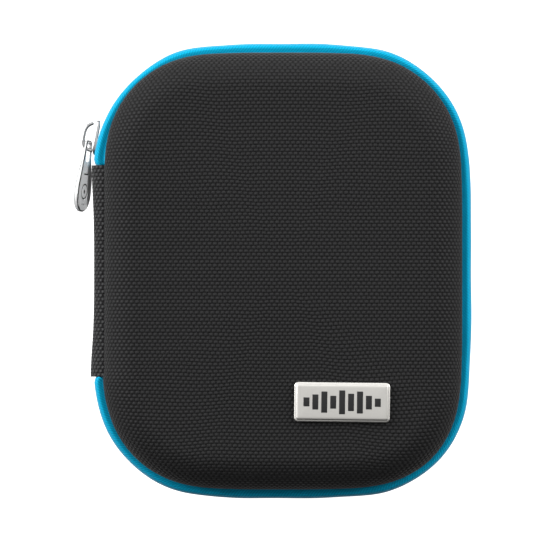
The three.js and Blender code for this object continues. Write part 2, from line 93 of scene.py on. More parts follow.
# How the sewn outline departs from its ideal line, inwards where positive: the depth, shift and
# reach of the eases at the ends of the sides, and the settling of the four corners, clockwise
# from the upper left. A shell also sits out at the corners and in along its sides.
SOFT_DEPTH, SOFT_SHIFT, SOFT_REACH = 0.5, 3.0, 7.0
CORNER_SETTLE = (0.32, 0.0, -0.7, -0.35)
SHELL_CORNERS = (-1.0, -0.5, -0.65, -0.5)
SIDE_SETTLE = 0.15
SPINE_PULL = 0.45
SPINE_PULL_REACH = 14.0

# Corners of the binding's L-shaped section as (inset, height).
BINDING_SECTION = [(3.4, 6.5), (7.45, 6.5), (7.45, 12.0), (6.85, 12.0), (6.85, 7.0), (3.4, 7.0)]


# ---- Settings ----


def length(name, description, millimetres):
    """A length setting, held in metres, with its default in millimetres."""
    return bpy.props.FloatProperty(
        name=name, description=description, default=millimetres * MM, unit="LENGTH", precision=5
    )


def angle(name, description, degrees):
    """An angle setting with its default in degrees."""
    return bpy.props.FloatProperty(
        name=name, description=description, default=math.radians(degrees), unit="ROTATION"
    )


def colour(name, description, rgb):
    """A colour setting; the default is a linear red, green and blue."""
    return bpy.props.FloatVectorProperty(
        name=name, description=description, default=rgb, subtype="COLOR", min=0, max=1
    )


class CaseSizes(bpy.types.PropertyGroup):
    """Sizes that the frame's boxes don't give."""

    corner_radius: length("Corner radius", "Radius of the outline's corners", 33.5)
    edge_radius: length("Edge radius", "Radius between the walls and the top", 9.0)
    lid_crown: length("Lid crown", "Rise of the lid's middle over its edge", 0.5)
    cover_thickness: length("Cover thickness", "Thickness of the cover cloth", 0.6)
    foam_thickness: length("Foam thickness", "Thickness of the foam shell", 2.8)
    lining_thickness: length("Lining thickness", "Thickness of the lining", 0.5)
    layer_gap: length("Layer gap", "Gap between two layers of a shell", 0.2)
    warp_pitch: length("Warp pitch", "Distance between the cover's warp threads", 0.695)
    weft_pitch: length("Weft pitch", "Distance between the cover's weft threads", 0.955)
    coil_pitch: length("Coil pitch", "Distance between two loops of the zip coil", 1.2)
    coil_wire: length("Coil wire", "Thickness of the zip coil's wire", 0.48)
    stitch_length: length("Stitch length", "Length of a stitch of the binding", 2.6)
    slider_angle: angle("Slider angle", "Place of the slider round its corner", 165.3)
    slider_skew: angle("Slider skew", "Turn of the slider on the zip", 3.8)
    tab_lean: angle("Tab lean", "Lean of the pull tab away from the case", 6.7)
    tab_twist: angle("Tab twist", "Twist of the pull tab about its length", 22.0)
    badge_turn: angle("Badge turn", "Turn of the badge on the lid", -0.7)


class CaseColours(bpy.types.PropertyGroup):
    """Colours of the case."""

    cover: colour("Cover", "Cover cloth", (0.0058, 0.0058, 0.0060))
    spine: colour("Spine", "Spine cloth", (0.018, 0.018, 0.0185))
    foam: colour("Foam", "Foam shell", (0.012, 0.012, 0.013))
    lining: colour("Lining", "Lining cloth", (0.010, 0.010, 0.012))
    tape: colour("Zip tape", "Zip tape", (0.0, 0.212, 0.35))
    coil: colour("Zip coil", "Zip coil", (0.004, 0.26, 0.48))
    trim: colour("Trim", "Binding, elastic, net and thread", (0.010, 0.010, 0.011))
    chrome: colour("Chrome", "Slider and pull", (0.54, 0.545, 0.55))
    badge: colour("Badge", "Badge metal", (0.42, 0.41, 0.39))
    badge_dark: colour("Badge bars", "Dark bars of the badge", (0.007, 0.007, 0.0073))


# ---- Sizes of the whole case ----


def box_mm(*nodes):
    """Lowest and highest corners round some CAD nodes, in millimetres."""
    boxes = np.array([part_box(node) for node in nodes]) / MM
    return boxes[:, 0].min(axis=0), boxes[:, 1].max(axis=0)


@dataclass(frozen=True)
class Case:
    """Sizes of the case in millimetres."""

    half_x: float
    half_y: float
    radius: float
    mid: float
    half_height: float
    rim: float
    wall: float
    edge_radius: float
    crown: float

    @property
    def core_x(self):
        """Half the width of the core rectangle, on whose corners the corner arcs stand."""
        return self.half_x - self.radius

    @property
    def core_y(self):
        """Half the length of the core rectangle."""
        return self.half_y - self.radius

    @property
    def cap_inset(self):
        """Inset at which the rounded edge ends and the cap begins."""
        return self.wall + self.edge_radius


def measure_case(sizes):
    """The case's sizes, from the frame's boxes and the size settings."""
    tape_low, tape_high = box_mm("base_zip_tape", "lid_zip_tape")
    base_low, _ = box_mm("base_fabric_cover")
    lid_low, lid_high = box_mm("lid_fabric_cover")
    half_x, half_y = (tape_high[:2] - tape_low[:2]) / 2
    mid = (base_low[2] + lid_high[2]) / 2
    return Case(
        half_x=half_x,
        half_y=half_y,
        radius=sizes.corner_radius / MM,
        mid=mid,
        half_height=lid_high[2] - mid,
        rim=lid_low[2] - mid,
        wall=half_x - lid_high[0],
        edge_radius=sizes.edge_radius / MM,
        crown=sizes.lid_crown / MM,
    )


def outline_knots(case):
    """Corners of the outline's path as run, anchor x, anchor y and direction of the normal."""
    quarter = case.radius * math.pi / 2
    across, along = 2 * case.core_x, 2 * case.core_y
    steps = [0, quarter, across, quarter, along, quarter, across, quarter, along]
    x = np.array([-1, -1, 1, 1, 1, 1, -1, -1, -1]) * case.core_x
    y = np.array([1, 1, 1, 1, -1, -1, -1, -1, 1]) * case.core_y
    turn = np.radians([180, 90, 90, 0, 0, -90, -90, -180, -180])
    return np.cumsum(steps), x, y, turn


def outline_at(case, run):
    """Anchor and outward normal at a run along the outline.

    Between two corners of the path both the anchor and the normal's direction change evenly, so
    a straight side moves the anchor and a rounded corner turns the normal.
    """
    knots, x, y, turn = outline_knots(case)
    direction = np.interp(run, knots, turn)
    anchor = np.stack([np.interp(run, knots, x), np.interp(run, knots, y)], axis=-1)
    return anchor, np.stack([np.cos(direction), np.sin(direction)], axis=-1)


def corner_bumps(case, run, amounts):
    """A swell in the middle of each corner: its amount times the square of a half sine."""
    knots = outline_knots(case)[0]
    total = np.zeros_like(run, dtype=float)
    for corner, amount in enumerate(amounts):
        share = np.clip((run - knots[2 * corner]) / (knots[1] - knots[0]), 0, 1)
        total = total + amount * np.sin(np.pi * share) ** 2
    return total


def corner_share(case, run):
    """One in the middle of each corner and nothing along the sides."""
    return corner_bumps(case, run, (1, 1, 1, 1))


def outline_settle(case, run):
    """How far the sewn outline has settled inwards from its ideal line.

    Each end of a side is eased in by a bell curve of the run, centred just inside the corner;
    the corners themselves sit in or out by their own amounts. Beside the spine it stays put.
    """
    knots = outline_knots(case)[0]
    ends = [knots[1] - SOFT_SHIFT, knots[2] + SOFT_SHIFT, knots[3] - SOFT_SHIFT,
            knots[4] + SOFT_SHIFT, knots[5] - SOFT_SHIFT, knots[6] + SOFT_SHIFT]
    eases = sum(np.exp(-(((run - end) / SOFT_REACH) ** 2)) for end in ends)
    return SOFT_DEPTH * eases + corner_bumps(case, run, CORNER_SETTLE)


def shell_settle(case, run):
    """How far a shell sits inside its place: out at the corners, in along the spine's side."""
    total = outline_length(case)
    from_spine = np.minimum(run, np.clip(total - run, 0, None))
    spine_start = outline_knots(case)[0][-2]
    from_spine = np.where(run > spine_start, 0, from_spine)
    pulled = SPINE_PULL * np.exp(-((from_spine / SPINE_PULL_REACH) ** 2))
    level = SIDE_SETTLE - 0.5 * outline_settle(case, run) * (1 - corner_share(case, run))
    return pulled + level + corner_bumps(case, run, SHELL_CORNERS)


def place_on_outline(case, run, inset, z):
    """Points at a run and an inset: the anchor plus the normal times the radius less the inset
    and less how far the outline has settled."""
    anchor, normal = outline_at(case, run)
    reach = case.radius - inset - outline_settle(case, run)
    return np.concatenate([anchor + normal * reach[..., None], z[..., None]], axis=-1)


def outline_length(case):
    """Length of the whole outline."""
    return outline_knots(case)[0][-1]


def zip_ends(case):
    """Runs at which the zip starts and ends, just above and below the spine."""
    knots = outline_knots(case)[0]
    lap = case.radius * math.radians(ZIP_END_ANGLE)
    return lap, knots[-2] - lap


# ---- Meshes ----


class Body:
    """The closed shells of one piece: points in millimetres, faces and cloth coordinates."""

    def __init__(self):
        self.points, self.faces, self.cloth = [], [], []
        self.count = 0

    def add_tube(self, rings, cloth=None, loops=False):
        """Joins rings of points into one closed shell.

        rings is (ring, point, 3). The shell closes round each ring, and from the last ring to
        the first where it loops; otherwise a fan to the middle of each end ring closes it.
        cloth is (ring, point, 2), with one more point, and ring where it loops, for the seam.
        """
        ring_count, size = rings.shape[:2]
        if cloth is None:
            cloth = np.zeros((ring_count + loops, size + 1, 2))
        bands = ring_count if loops else ring_count - 1
        ring, point = np.meshgrid(np.arange(bands), np.arange(size), indexing="ij")
        corners = [(ring, point), (ring + 1, point), (ring + 1, point + 1), (ring, point + 1)]
        quads = np.stack([(a % ring_count) * size + b % size for a, b in corners], -1)
        coords = np.stack([cloth[a, b] for a, b in corners], -2)
        points = rings.reshape(-1, 3)
        faces = [quads.reshape(-1, 4)]
        uvs = [coords.reshape(-1, 4, 2)]
        if not loops:
            middles = rings[[0, -1]].mean(axis=1)
            points = np.concatenate([points, middles])
            for end, order in ((0, (0, 1)), (ring_count - 1, (1, 0))):
                start = np.arange(size)
                edge = [end * size + start, end * size + (start + 1) % size]
                hub = np.full(size, ring_count * size + (end > 0))
                faces.append(np.stack([edge[order[0]], edge[order[1]], hub], -1))
                along = [cloth[end, :-1], cloth[end, 1:]]
                centre = np.broadcast_to(cloth[end, :-1].mean(axis=0), (size, 2))
                uvs.append(np.stack([along[order[0]], along[order[1]], centre], -2))
        if enclosed_volume(points, faces) < 0:
            faces = [face[:, ::-1] for face in faces]
            uvs = [uv[:, ::-1] for uv in uvs]
        for face, uv in zip(faces, uvs):
            self.faces += (face + self.count).tolist()
            self.cloth.append(uv.reshape(-1, 2))
        self.points.append(points)
        self.count += len(points)

    def make(self, name, material, body, replaces, slot):
        """Makes the object, rides it on a body and lets it stand for its CAD nodes."""
        mesh = bpy.data.meshes.new(name)
        mesh.from_pydata((np.concatenate(self.points) * MM).tolist(), [], self.faces)
        uv_layer = mesh.uv_layers.new(name="cloth")
        uv_layer.data.foreach_set("uv", np.concatenate(self.cloth).astype(np.float32).ravel())
        mesh.shade_smooth()
        mesh.materials.append(material)
        piece = bpy.data.objects.new(name, mesh)
        bpy.context.scene.collection.objects.link(piece)
        if body:
            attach(piece, body)
        if replaces:
            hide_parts(*replaces)
        return piece


def enclosed_volume(points, faces):
    """Six times the volume inside the faces, each cut into triangles from its first corner."""
    total = 0.0
    for face in faces:
        first = points[face[:, 0]]
        for k in range(1, face.shape[1] - 1):
            normal = np.cross(points[face[:, k]], points[face[:, k + 1]])
            total += (first * normal).sum()
    return total


def smooth_line(corners, steps):
    """A Catmull-Rom curve through some points, with an even number of steps in each span."""
    points = np.array(corners, float)
    before = np.vstack([2 * points[0] - points[1], points[:-2]])
    start, end = points[:-1], points[1:]
    after = np.vstack([points[2:], 2 * points[-1] - points[-2]])
    t = np.linspace(0, 1, steps, endpoint=False)[None, :, None]
    spans = [array[:, None, :] for array in (before, start, end, after)]
    curve = 0.5 * (
        2 * spans[1]
        + (spans[2] - spans[0]) * t
        + (2 * spans[0] - 5 * spans[1] + 4 * spans[2] - spans[3]) * t**2
        + (3 * spans[1] - spans[0] - 3 * spans[2] + spans[3]) * t**3
    )
    return np.vstack([curve.reshape(-1, 2), points[-1:]])


def mirrored(half_line):
    """A line followed by its mirror image in height, from the lid's side to the base's."""
    return [*half_line, *[(inset, -height) for inset, height in reversed(half_line)]]


def distance_along(line):
    """Distance from the start of a line to each of its points."""
    return np.concatenate([[0], np.cumsum(np.linalg.norm(np.diff(line, axis=0), axis=1))])


def strip_section(line, thickness):
    """A strip of even thickness round a line, as a closed section with rounded ends.

    Each side is the line moved along its normal by half the thickness, drawn in at both ends by
    a half circle. Also gives each point's distance along the strip.
    """
    along = distance_along(line)
    tangent = np.gradient(line, along, axis=0)
    tangent /= np.linalg.norm(tangent, axis=1, keepdims=True)
    normal = np.stack([-tangent[:, 1], tangent[:, 0]], axis=1)
    half = thickness / 2
    to_end = np.minimum(along, along[-1] - along)
    offset = half * np.sqrt(np.clip(1 - np.clip(1 - to_end / half, 0, 1) ** 2, 0.02, 1))
    left = line + normal * offset[:, None]
    right = line - normal * offset[:, None]
    return np.vstack([left, right[::-1]]), np.concatenate([along, along[::-1]])


def sweep(case, body, runs, section, along, side, loops=False, wave=None):
    """Carries a closed section of (inset, height) along the outline into one shell.

    Point (i, j) stands at run i and at inset and height j. wave moves it outwards by a function
    of its run and height.
    """
    run, inset = np.meshgrid(runs, section[:, 0], indexing="ij")
    height = np.broadcast_to(section[:, 1], run.shape)
    if wave is not None:
        inset = inset - wave(run, height)
    rings = place_on_outline(case, run, inset, case.mid + side * height)
    seam_runs = np.append(runs, outline_length(case)) if loops else runs
    u, v = np.meshgrid(seam_runs, np.append(along, along[0]), indexing="ij")
    body.add_tube(rings, np.stack([u, v], axis=-1), loops)


def round_the_case(case, spacing):
    """Evenly spaced runs round the whole outline, without the last, which is the first again."""
    total = outline_length(case)
    return np.linspace(0, total, round(total / spacing), endpoint=False)


# ---- Material helpers ----


class Nodes:
    """A node tree with short ways to add nodes and feed their sockets."""

    def __init__(self, tree):
        self.tree = tree

    def feed(self, socket, value):
        """Links an output to a socket, or sets the socket to a plain value."""
        if isinstance(value, bpy.types.NodeSocket):
            self.tree.links.new(value, socket)
        else:
            socket.default_value = value

    def add(self, kind, settings=None, **inputs):
        """Adds a node; inputs are named by socket, with _ for a space."""
        node = self.tree.nodes.new(kind)
        for key, value in (settings or {}).items():
            setattr(node, key, value)
        for key, value in inputs.items():
            self.feed(node.inputs[key.replace("_", " ")], value)
        return node

    def math(self, operation, *values):
        """One Math node; its output."""
        node = self.tree.nodes.new("ShaderNodeMath")
        node.operation = operation
        for socket, value in zip(node.inputs, values):
            self.feed(socket, value)
        return node.outputs[0]

    def ramp(self, value, low, high, out_low=0.0, out_high=1.0):
        """Maps a value from one range to another, held inside it."""
        node = self.add("ShaderNodeMapRange", {"clamp": True})
        for socket, number in zip(node.inputs, (value, low, high, out_low, out_high)):
            self.feed(socket, number)
        return node.outputs[0]

    def mix(self, factor, first, second):
        """Mixes two colours."""
        node = self.tree.nodes.new("ShaderNodeMix")
        node.data_type = "RGBA"
        for index, value in ((0, factor), (6, first), (7, second)):
            if isinstance(value, tuple) and len(value) == 3:
                value = (*value, 1.0)
            self.feed(node.inputs[index], value)
        return node.outputs[2]

    def noise(self, vector, scale, detail=2.0, roughness=0.5):
        """A noise value between 0 and 1."""
        node = self.add("ShaderNodeTexNoise", Scale=scale, Detail=detail, Roughness=roughness)
        self.feed(node.inputs["Vector"], vector)
        return node.outputs[0]

    def group(self, tree, **inputs):
        """Places a node group; returns its outputs by name."""
        node = self.tree.nodes.new("ShaderNodeGroup")
        node.node_tree = tree
        for key, value in inputs.items():
            self.feed(node.inputs[key.replace("_", " ")], value)
        return {output.name: output for output in node.outputs}

    def bump(self, height, distance, strength=1.0, normal=None):
        """A Bump node for a height of 0 to 1 and a real distance in millimetres."""
        node = self.add("ShaderNodeBump", Height=height, Distance=distance * MM, Strength=strength)
        if normal is not None:
            self.feed(node.inputs["Normal"], normal)
        return node.outputs[0]


def new_group(name, inputs, outputs):
    """An empty node group: inputs are (name, socket type, default), outputs (name, type)."""
    tree = bpy.data.node_groups.new(name, "ShaderNodeTree")
    for label, kind, default in inputs:
        socket = tree.interface.new_socket(name=label, in_out="INPUT", socket_type=kind)
        if default is not None:
            socket.default_value = default
    for label, kind in outputs:
        tree.interface.new_socket(name=label, in_out="OUTPUT", socket_type=kind)
    nodes = Nodes(tree)
    return tree, nodes, nodes.add("NodeGroupInput").outputs, nodes.add("NodeGroupOutput").inputs


VECTOR, FLOAT = "NodeSocketVector", "NodeSocketFloat"


def thread_arch(nodes, offset, half_width):
    """Height of a round thread: the root of one less the square of offset over half width."""
    share = nodes.math("DIVIDE", offset, half_width)
    left = nodes.math("SUBTRACT", 1.0, nodes.math("MULTIPLY", share, share))
    return nodes.math("SQRT", nodes.math("MAXIMUM", left, 0.0))


def plain_weave_group():
    """Plain weave: in each row the weft floats over every other warp thread, shifted by one
    thread from row to row, and the warp shows between the floats."""
    tree, n, given, out = new_group(
        "plain_weave",
        [("Cloth", VECTOR, None), ("Warp pitch", FLOAT, 0.7), ("Weft pitch", FLOAT, 0.95),
         ("Waver", FLOAT, 0.1)],
        [("Height", FLOAT), ("Float", FLOAT), ("Fibre", FLOAT)],
    )
    waver = n.add("ShaderNodeTexNoise", Vector=given["Cloth"], Scale=0.35, Detail=2.0)
    shift = n.add("ShaderNodeVectorMath", {"operation": "SCALE"})
    n.feed(shift.inputs[0], waver.outputs["Color"])
    n.feed(shift.inputs["Scale"], given["Waver"])
    moved = n.add("ShaderNodeVectorMath", {"operation": "ADD"})
    n.feed(moved.inputs[0], given["Cloth"])
    n.feed(moved.inputs[1], shift.outputs[0])
    place = n.add("ShaderNodeSeparateXYZ", Vector=moved.outputs[0]).outputs
    across = n.math("DIVIDE", place["X"], given["Warp pitch"])
    up = n.math("DIVIDE", place["Y"], given["Weft pitch"])
    row = n.math("FLOOR", up)
    half_row = n.math("MULTIPLY", row, 0.5)
    phase = n.math("ADD", n.math("MULTIPLY", across, 0.5), half_row)
    from_float = n.math("ABSOLUTE", n.math("SUBTRACT", n.math("FRACT", phase), 0.5))
    from_row = n.math("ABSOLUTE", n.math("SUBTRACT", n.math("FRACT", up), 0.5))
    from_warp = n.math("SUBTRACT", 0.5, from_float)
    weft = n.math("MULTIPLY", thread_arch(n, from_float, 0.4), thread_arch(n, from_row, 0.53))
    warp = n.math("MULTIPLY", thread_arch(n, from_warp, 0.26), thread_arch(n, from_row, 0.75))
    warp_low = n.math("MULTIPLY", warp, 0.4)
    height = n.math("MAXIMUM", weft, warp_low)
    streak = n.add("ShaderNodeMapping", Vector=given["Cloth"])
    n.feed(streak.inputs["Scale"], (2.0, 14.0, 1.0))
    fibre = n.noise(streak.outputs[0], 1.0, 3.0, 0.6)
    n.feed(out["Height"], height)
    n.feed(out["Float"], weft)
    n.feed(out["Fibre"], fibre)
    return tree


def twill_group():
    """Twill: diagonal ribs, each a round arch, crossed by finer steps along the tape."""
    tree, n, given, out = new_group(
        "twill_weave",
        [("Cloth", VECTOR, None), ("Pitch", FLOAT, 0.8), ("Slope", FLOAT, 1.0)],
        [("Height", FLOAT), ("Fibre", FLOAT)],
    )
    place = n.add("ShaderNodeSeparateXYZ", Vector=given["Cloth"]).outputs
    slant = n.math("ADD", place["X"], n.math("MULTIPLY", place["Y"], given["Slope"]))
    rib = n.math("FRACT", n.math("DIVIDE", slant, given["Pitch"]))
    from_rib = n.math("ABSOLUTE", n.math("SUBTRACT", rib, 0.5))
    yarn_pitch = n.math("MULTIPLY", given["Pitch"], 0.5)
    yarn = n.math("FRACT", n.math("DIVIDE", place["Y"], yarn_pitch))
    from_yarn = n.math("ABSOLUTE", n.math("SUBTRACT", yarn, 0.5))
    arches = n.math("MULTIPLY", thread_arch(n, from_rib, 0.5), thread_arch(n, from_yarn, 0.62))
    n.feed(out["Height"], arches)
    n.feed(out["Fibre"], n.noise(given["Cloth"], 9.0, 3.0, 0.6))
    return tree


def rib_group():
    """Ribbed tape: round ribs across the strip, with finer threads over them."""
    tree, n, given, out = new_group(
        "ribbed_tape",
        [("Cloth", VECTOR, None), ("Rib pitch", FLOAT, 0.6), ("Thread pitch", FLOAT, 0.3)],
        [("Height", FLOAT), ("Fibre", FLOAT)],
    )
    place = n.add("ShaderNodeSeparateXYZ", Vector=given["Cloth"]).outputs
    rib = n.math("FRACT", n.math("DIVIDE", place["X"], given["Rib pitch"]))
    thread = n.math("FRACT", n.math("DIVIDE", place["Y"], given["Thread pitch"]))
    rib_arch = thread_arch(n, n.math("ABSOLUTE", n.math("SUBTRACT", rib, 0.5)), 0.5)
    thread_height = thread_arch(n, n.math("ABSOLUTE", n.math("SUBTRACT", thread, 0.5)), 0.55)
    n.feed(out["Height"], n.math("MULTIPLY", rib_arch, thread_height))
    n.feed(out["Fibre"], n.noise(given["Cloth"], 11.0, 3.0, 0.6))
    return tree


def handling_group():
    """Uneven tone of a used surface: broad soft patches with fine specks of lint over them."""
    tree, n, given, out = new_group(
        "handling",
        [("Place", VECTOR, None), ("Patch size", FLOAT, 30.0)],
        [("Patches", FLOAT), ("Lint", FLOAT)],
    )
    scale = n.math("DIVIDE", 1.0, n.math("MULTIPLY", given["Patch size"], MM))
    n.feed(out["Patches"], n.noise(given["Place"], scale, 2.0, 0.55))
    specks = n.noise(given["Place"], n.math("MULTIPLY", scale, 60.0), 1.0, 0.5)
    n.feed(out["Lint"], n.ramp(specks, 0.74, 0.8))
    return tree


def scratch_group():
    """Fine wear of metal: long thin scratches in two directions and soft smudges."""
    tree, n, given, out = new_group(
        "metal_wear",
        [("Place", VECTOR, None), ("Size", FLOAT, 1.0)],
        [("Scratches", FLOAT), ("Smudges", FLOAT)],
    )
    layers = []
    for turn in (0.4, 1.9):
        lie = n.add("ShaderNodeMapping", Vector=given["Place"])
        n.feed(lie.inputs["Rotation"], (0.2, 0.3, turn))
        n.feed(lie.inputs["Scale"], (300.0, 9000.0, 3000.0))
        layers.append(n.ramp(n.noise(lie.outputs[0], given["Size"], 2.0, 0.6), 0.62, 0.75))
    n.feed(out["Scratches"], n.math("MAXIMUM", *layers))
    n.feed(out["Smudges"], n.noise(given["Place"], 260.0, 3.0, 0.55))
    return tree


GROUP_MAKERS = {
    "plain_weave": plain_weave_group,
    "twill_weave": twill_group,
    "ribbed_tape": rib_group,
    "handling": handling_group,
    "metal_wear": scratch_group,
}


def shared_group(name):
    """A node group by name, built the first time that it is asked for."""
    return bpy.data.node_groups.get(name) or GROUP_MAKERS[name]()


def new_material(name):
    """An empty material with its nodes, its shader, and where its surface is."""
    material = bpy.data.materials.new(name)
    material.use_nodes = True
    material.node_tree.nodes.clear()
    nodes = Nodes(material.node_tree)
    output = nodes.add("ShaderNodeOutputMaterial")
    shader = nodes.add("ShaderNodeBsdfPrincipled")
    nodes.feed(output.inputs["Surface"], shader.outputs[0])
    where = nodes.add("ShaderNodeTexCoord").outputs
    return material, nodes, shader.inputs, where


def toned(rgb, factor):
    """A colour made darker or lighter by a factor."""
    return tuple(min(1.0, channel * factor) for channel in rgb)


def woven_material(name, rgb, warp, weft, depth, gap_painted_shade, fibre_tone):
    """Cover or spine cloth: plain weave whose colour follows its height, lighter on the floats and
    darker in the gaps between them as painted shade.
    """
    material, n, shader, where = new_material(name)
    weave = n.group(shared_group("plain_weave"), Cloth=where["UV"], Warp_pitch=warp,
                    Weft_pitch=weft, Waver=0.05)
    wear = n.group(shared_group("handling"), Place=where["Object"], Patch_size=34.0)
    # Painted light and shade of the weave's relief: the colour follows its height, near black in
    # the gaps between floats and lighter on the floats.
    raised = n.ramp(weave["Height"], 0.3, 0.95)
    threads = n.mix(raised, toned(rgb, gap_painted_shade), toned(rgb, 2.9))
    fibres = n.mix(n.ramp(weave["Fibre"], 0.3, 0.7), toned(rgb, fibre_tone), threads)
    tinted = n.mix(n.ramp(wear["Patches"], 0.3, 0.7, 0.0, 0.12), fibres, toned(rgb, 1.5))
    n.feed(shader["Base Color"], n.mix(n.math("MULTIPLY", wear["Lint"], 0.15), tinted,
                                       toned(rgb, 5.0)))
    rough = n.ramp(weave["Float"], 0.0, 1.0, 0.85, 0.6)
    n.feed(shader["Roughness"], rough)
    shader["Specular IOR Level"].default_value = 0.13
    shader["Sheen Weight"].default_value = 0.05
    shader["Sheen Roughness"].default_value = 0.3
    relief = n.bump(weave["Height"], depth)
    n.feed(shader["Normal"], n.bump(weave["Fibre"], 0.02, 1.0, relief))
    return material


def tape_material(name, rgb):
    """Zip tape: fine twill of bright dyed yarn with a soft sheen, and painted shade in the valleys
    between its ribs.
    """
    material, n, shader, where = new_material(name)
    twill = n.group(shared_group("twill_weave"), Cloth=where["UV"], Pitch=0.78, Slope=0.9)
    wear = n.group(shared_group("handling"), Place=where["Object"], Patch_size=14.0)
    # Painted shade: the colour follows the twill's height, darker in the valleys between the ribs.
    yarn = n.mix(twill["Height"], toned(rgb, 0.35), toned(rgb, 1.2))
    fibres = n.mix(n.ramp(twill["Fibre"], 0.35, 0.75, 0.0, 0.2), yarn, (0.01, 0.36, 0.54))
    patched = n.mix(n.ramp(wear["Patches"], 0.35, 0.7, 0.0, 0.3), fibres, toned(rgb, 0.75))
    n.feed(shader["Base Color"], patched)
    n.feed(shader["Roughness"], n.ramp(twill["Height"], 0.0, 1.0, 0.8, 0.5))
    shader["Specular IOR Level"].default_value = 0.04
    shader["Sheen Weight"].default_value = 0.3
    shader["Sheen Roughness"].default_value = 0.28
    relief = n.bump(twill["Height"], 0.09)
    n.feed(shader["Normal"], n.bump(twill["Fibre"], 0.02, 1.0, relief))
    return material


def ribbed_material(name, rgb, rib, thread, depth):
    """Binding or elastic: ribbed tape, with painted shade between its ribs and threads."""
    material, n, shader, where = new_material(name)
    tape = n.group(shared_group("ribbed_tape"), Cloth=where["UV"], Rib_pitch=rib,
                   Thread_pitch=thread)
    # Painted shade: the colour follows the ribs' height, darker in the hollows between them.
    yarn = n.mix(tape["Height"], toned(rgb, 0.4), toned(rgb, 1.8))
    n.feed(shader["Base Color"], n.mix(n.ramp(tape["Fibre"], 0.5, 0.8, 0.0, 0.4), yarn,
                                       toned(rgb, 3.0)))
    n.feed(shader["Roughness"], n.ramp(tape["Fibre"], 0.2, 0.8, 0.65, 0.85))
    shader["Sheen Weight"].default_value = 0.15
    n.feed(shader["Normal"], n.bump(tape["Height"], depth))
    return material


def lining_material(name, rgb):
    """Lining: brushed knit, with rows of small loops under a short nap."""
    material, n, shader, where = new_material(name)
    loops = n.group(shared_group("plain_weave"), Cloth=where["UV"], Warp_pitch=0.45,
                    Weft_pitch=0.5, Waver=0.3)
    wear = n.group(shared_group("handling"), Place=where["Object"], Patch_size=18.0)
    nap = n.noise(where["UV"], 3.2, 4.0, 0.65)
    base = n.mix(n.ramp(nap, 0.3, 0.7), toned(rgb, 0.55), toned(rgb, 1.9))
    n.feed(shader["Base Color"], n.mix(n.ramp(wear["Patches"], 0.35, 0.7, 0.0, 0.5), base,
                                       toned(rgb, 2.2)))
    n.feed(shader["Roughness"], n.ramp(nap, 0.2, 0.8, 0.8, 0.98))
    shader["Sheen Weight"].default_value = 0.5
    shader["Sheen Roughness"].default_value = 0.5
    relief = n.bump(loops["Height"], 0.06)
    n.feed(shader["Normal"], n.bump(nap, 0.12, 1.0, relief))
    return material


def foam_material(name, rgb):
    """Moulded foam: closed skin with fine pores."""
    material, n, shader, where = new_material(name)
    pores = n.add("ShaderNodeTexVoronoi", Vector=where["Object"], Scale=2600.0).outputs[0]
    skin = n.noise(where["Object"], 420.0, 3.0)
    n.feed(shader["Base Color"], n.mix(n.ramp(skin, 0.3, 0.7), toned(rgb, 0.7), toned(rgb, 1.5)))
    n.feed(shader["Roughness"], n.ramp(skin, 0.2, 0.8, 0.75, 0.92))
    n.feed(shader["Normal"], n.bump(n.ramp(pores, 0.0, 0.35), 0.06))
    return material


def coil_material(name, rgb):
    """Zip coil: smooth nylon with faint drawing lines."""
    material, n, shader, where = new_material(name)
    lines = n.noise(where["UV"], 6.0, 2.0)
    n.feed(shader["Base Color"], n.mix(n.ramp(lines, 0.3, 0.7), toned(rgb, 0.8), toned(rgb, 1.2)))
    n.feed(shader["Roughness"], n.ramp(lines, 0.2, 0.8, 0.28, 0.42))
    n.feed(shader["Normal"], n.bump(lines, 0.01))
    return material


def net_material(name, rgb):
    """Knitted net: rows of round holes, shifted by half from row to row, in shiny thread."""
    material, n, shader, where = new_material(name)
    place = n.add("ShaderNodeSeparateXYZ", Vector=where["UV"]).outputs
    up = n.math("DIVIDE", place["Y"], 1.3)
    shift = n.math("MULTIPLY", n.math("FLOOR", up), 0.5)
    across = n.math("ADD", n.math("DIVIDE", place["X"], 1.5), shift)
    x = n.math("MULTIPLY", n.math("SUBTRACT", n.math("FRACT", across), 0.5), 1.5)
    y = n.math("MULTIPLY", n.math("SUBTRACT", n.math("FRACT", up), 0.5), 1.3)
    squares = n.math("ADD", n.math("MULTIPLY", x, x), n.math("MULTIPLY", y, y))
    radius = n.math("SQRT", squares)
    n.feed(shader["Alpha"], n.ramp(radius, 0.44, 0.5))
    thread = n.noise(where["UV"], 7.0, 3.0)
    n.feed(shader["Base Color"], n.mix(n.ramp(thread, 0.3, 0.7), toned(rgb, 0.7),
                                       toned(rgb, 2.4)))
    n.feed(shader["Roughness"], n.ramp(thread, 0.2, 0.8, 0.5, 0.7))
    n.feed(shader["Normal"], n.bump(n.ramp(radius, 0.5, 0.8), 0.1))
    return material


def chrome_material(name, rgb):
    """Bright plating with fine scratches and finger smudges."""
    material, n, shader, where = new_material(name)
    wear = n.group(shared_group("metal_wear"), Place=where["Object"], Size=1.0)
    n.feed(shader["Base Color"], n.mix(n.ramp(wear["Smudges"], 0.3, 0.75, 0.0, 0.35), rgb,
                                       toned(rgb, 0.86)))
    shader["Metallic"].default_value = 1.0
    rough = n.math("ADD", n.ramp(wear["Smudges"], 0.3, 0.8, 0.09, 0.2),
                   n.math("MULTIPLY", wear["Scratches"], 0.12))
    n.feed(shader["Roughness"], rough)
    n.feed(shader["Normal"], n.bump(wear["Scratches"], 0.004, 0.5))
    return material


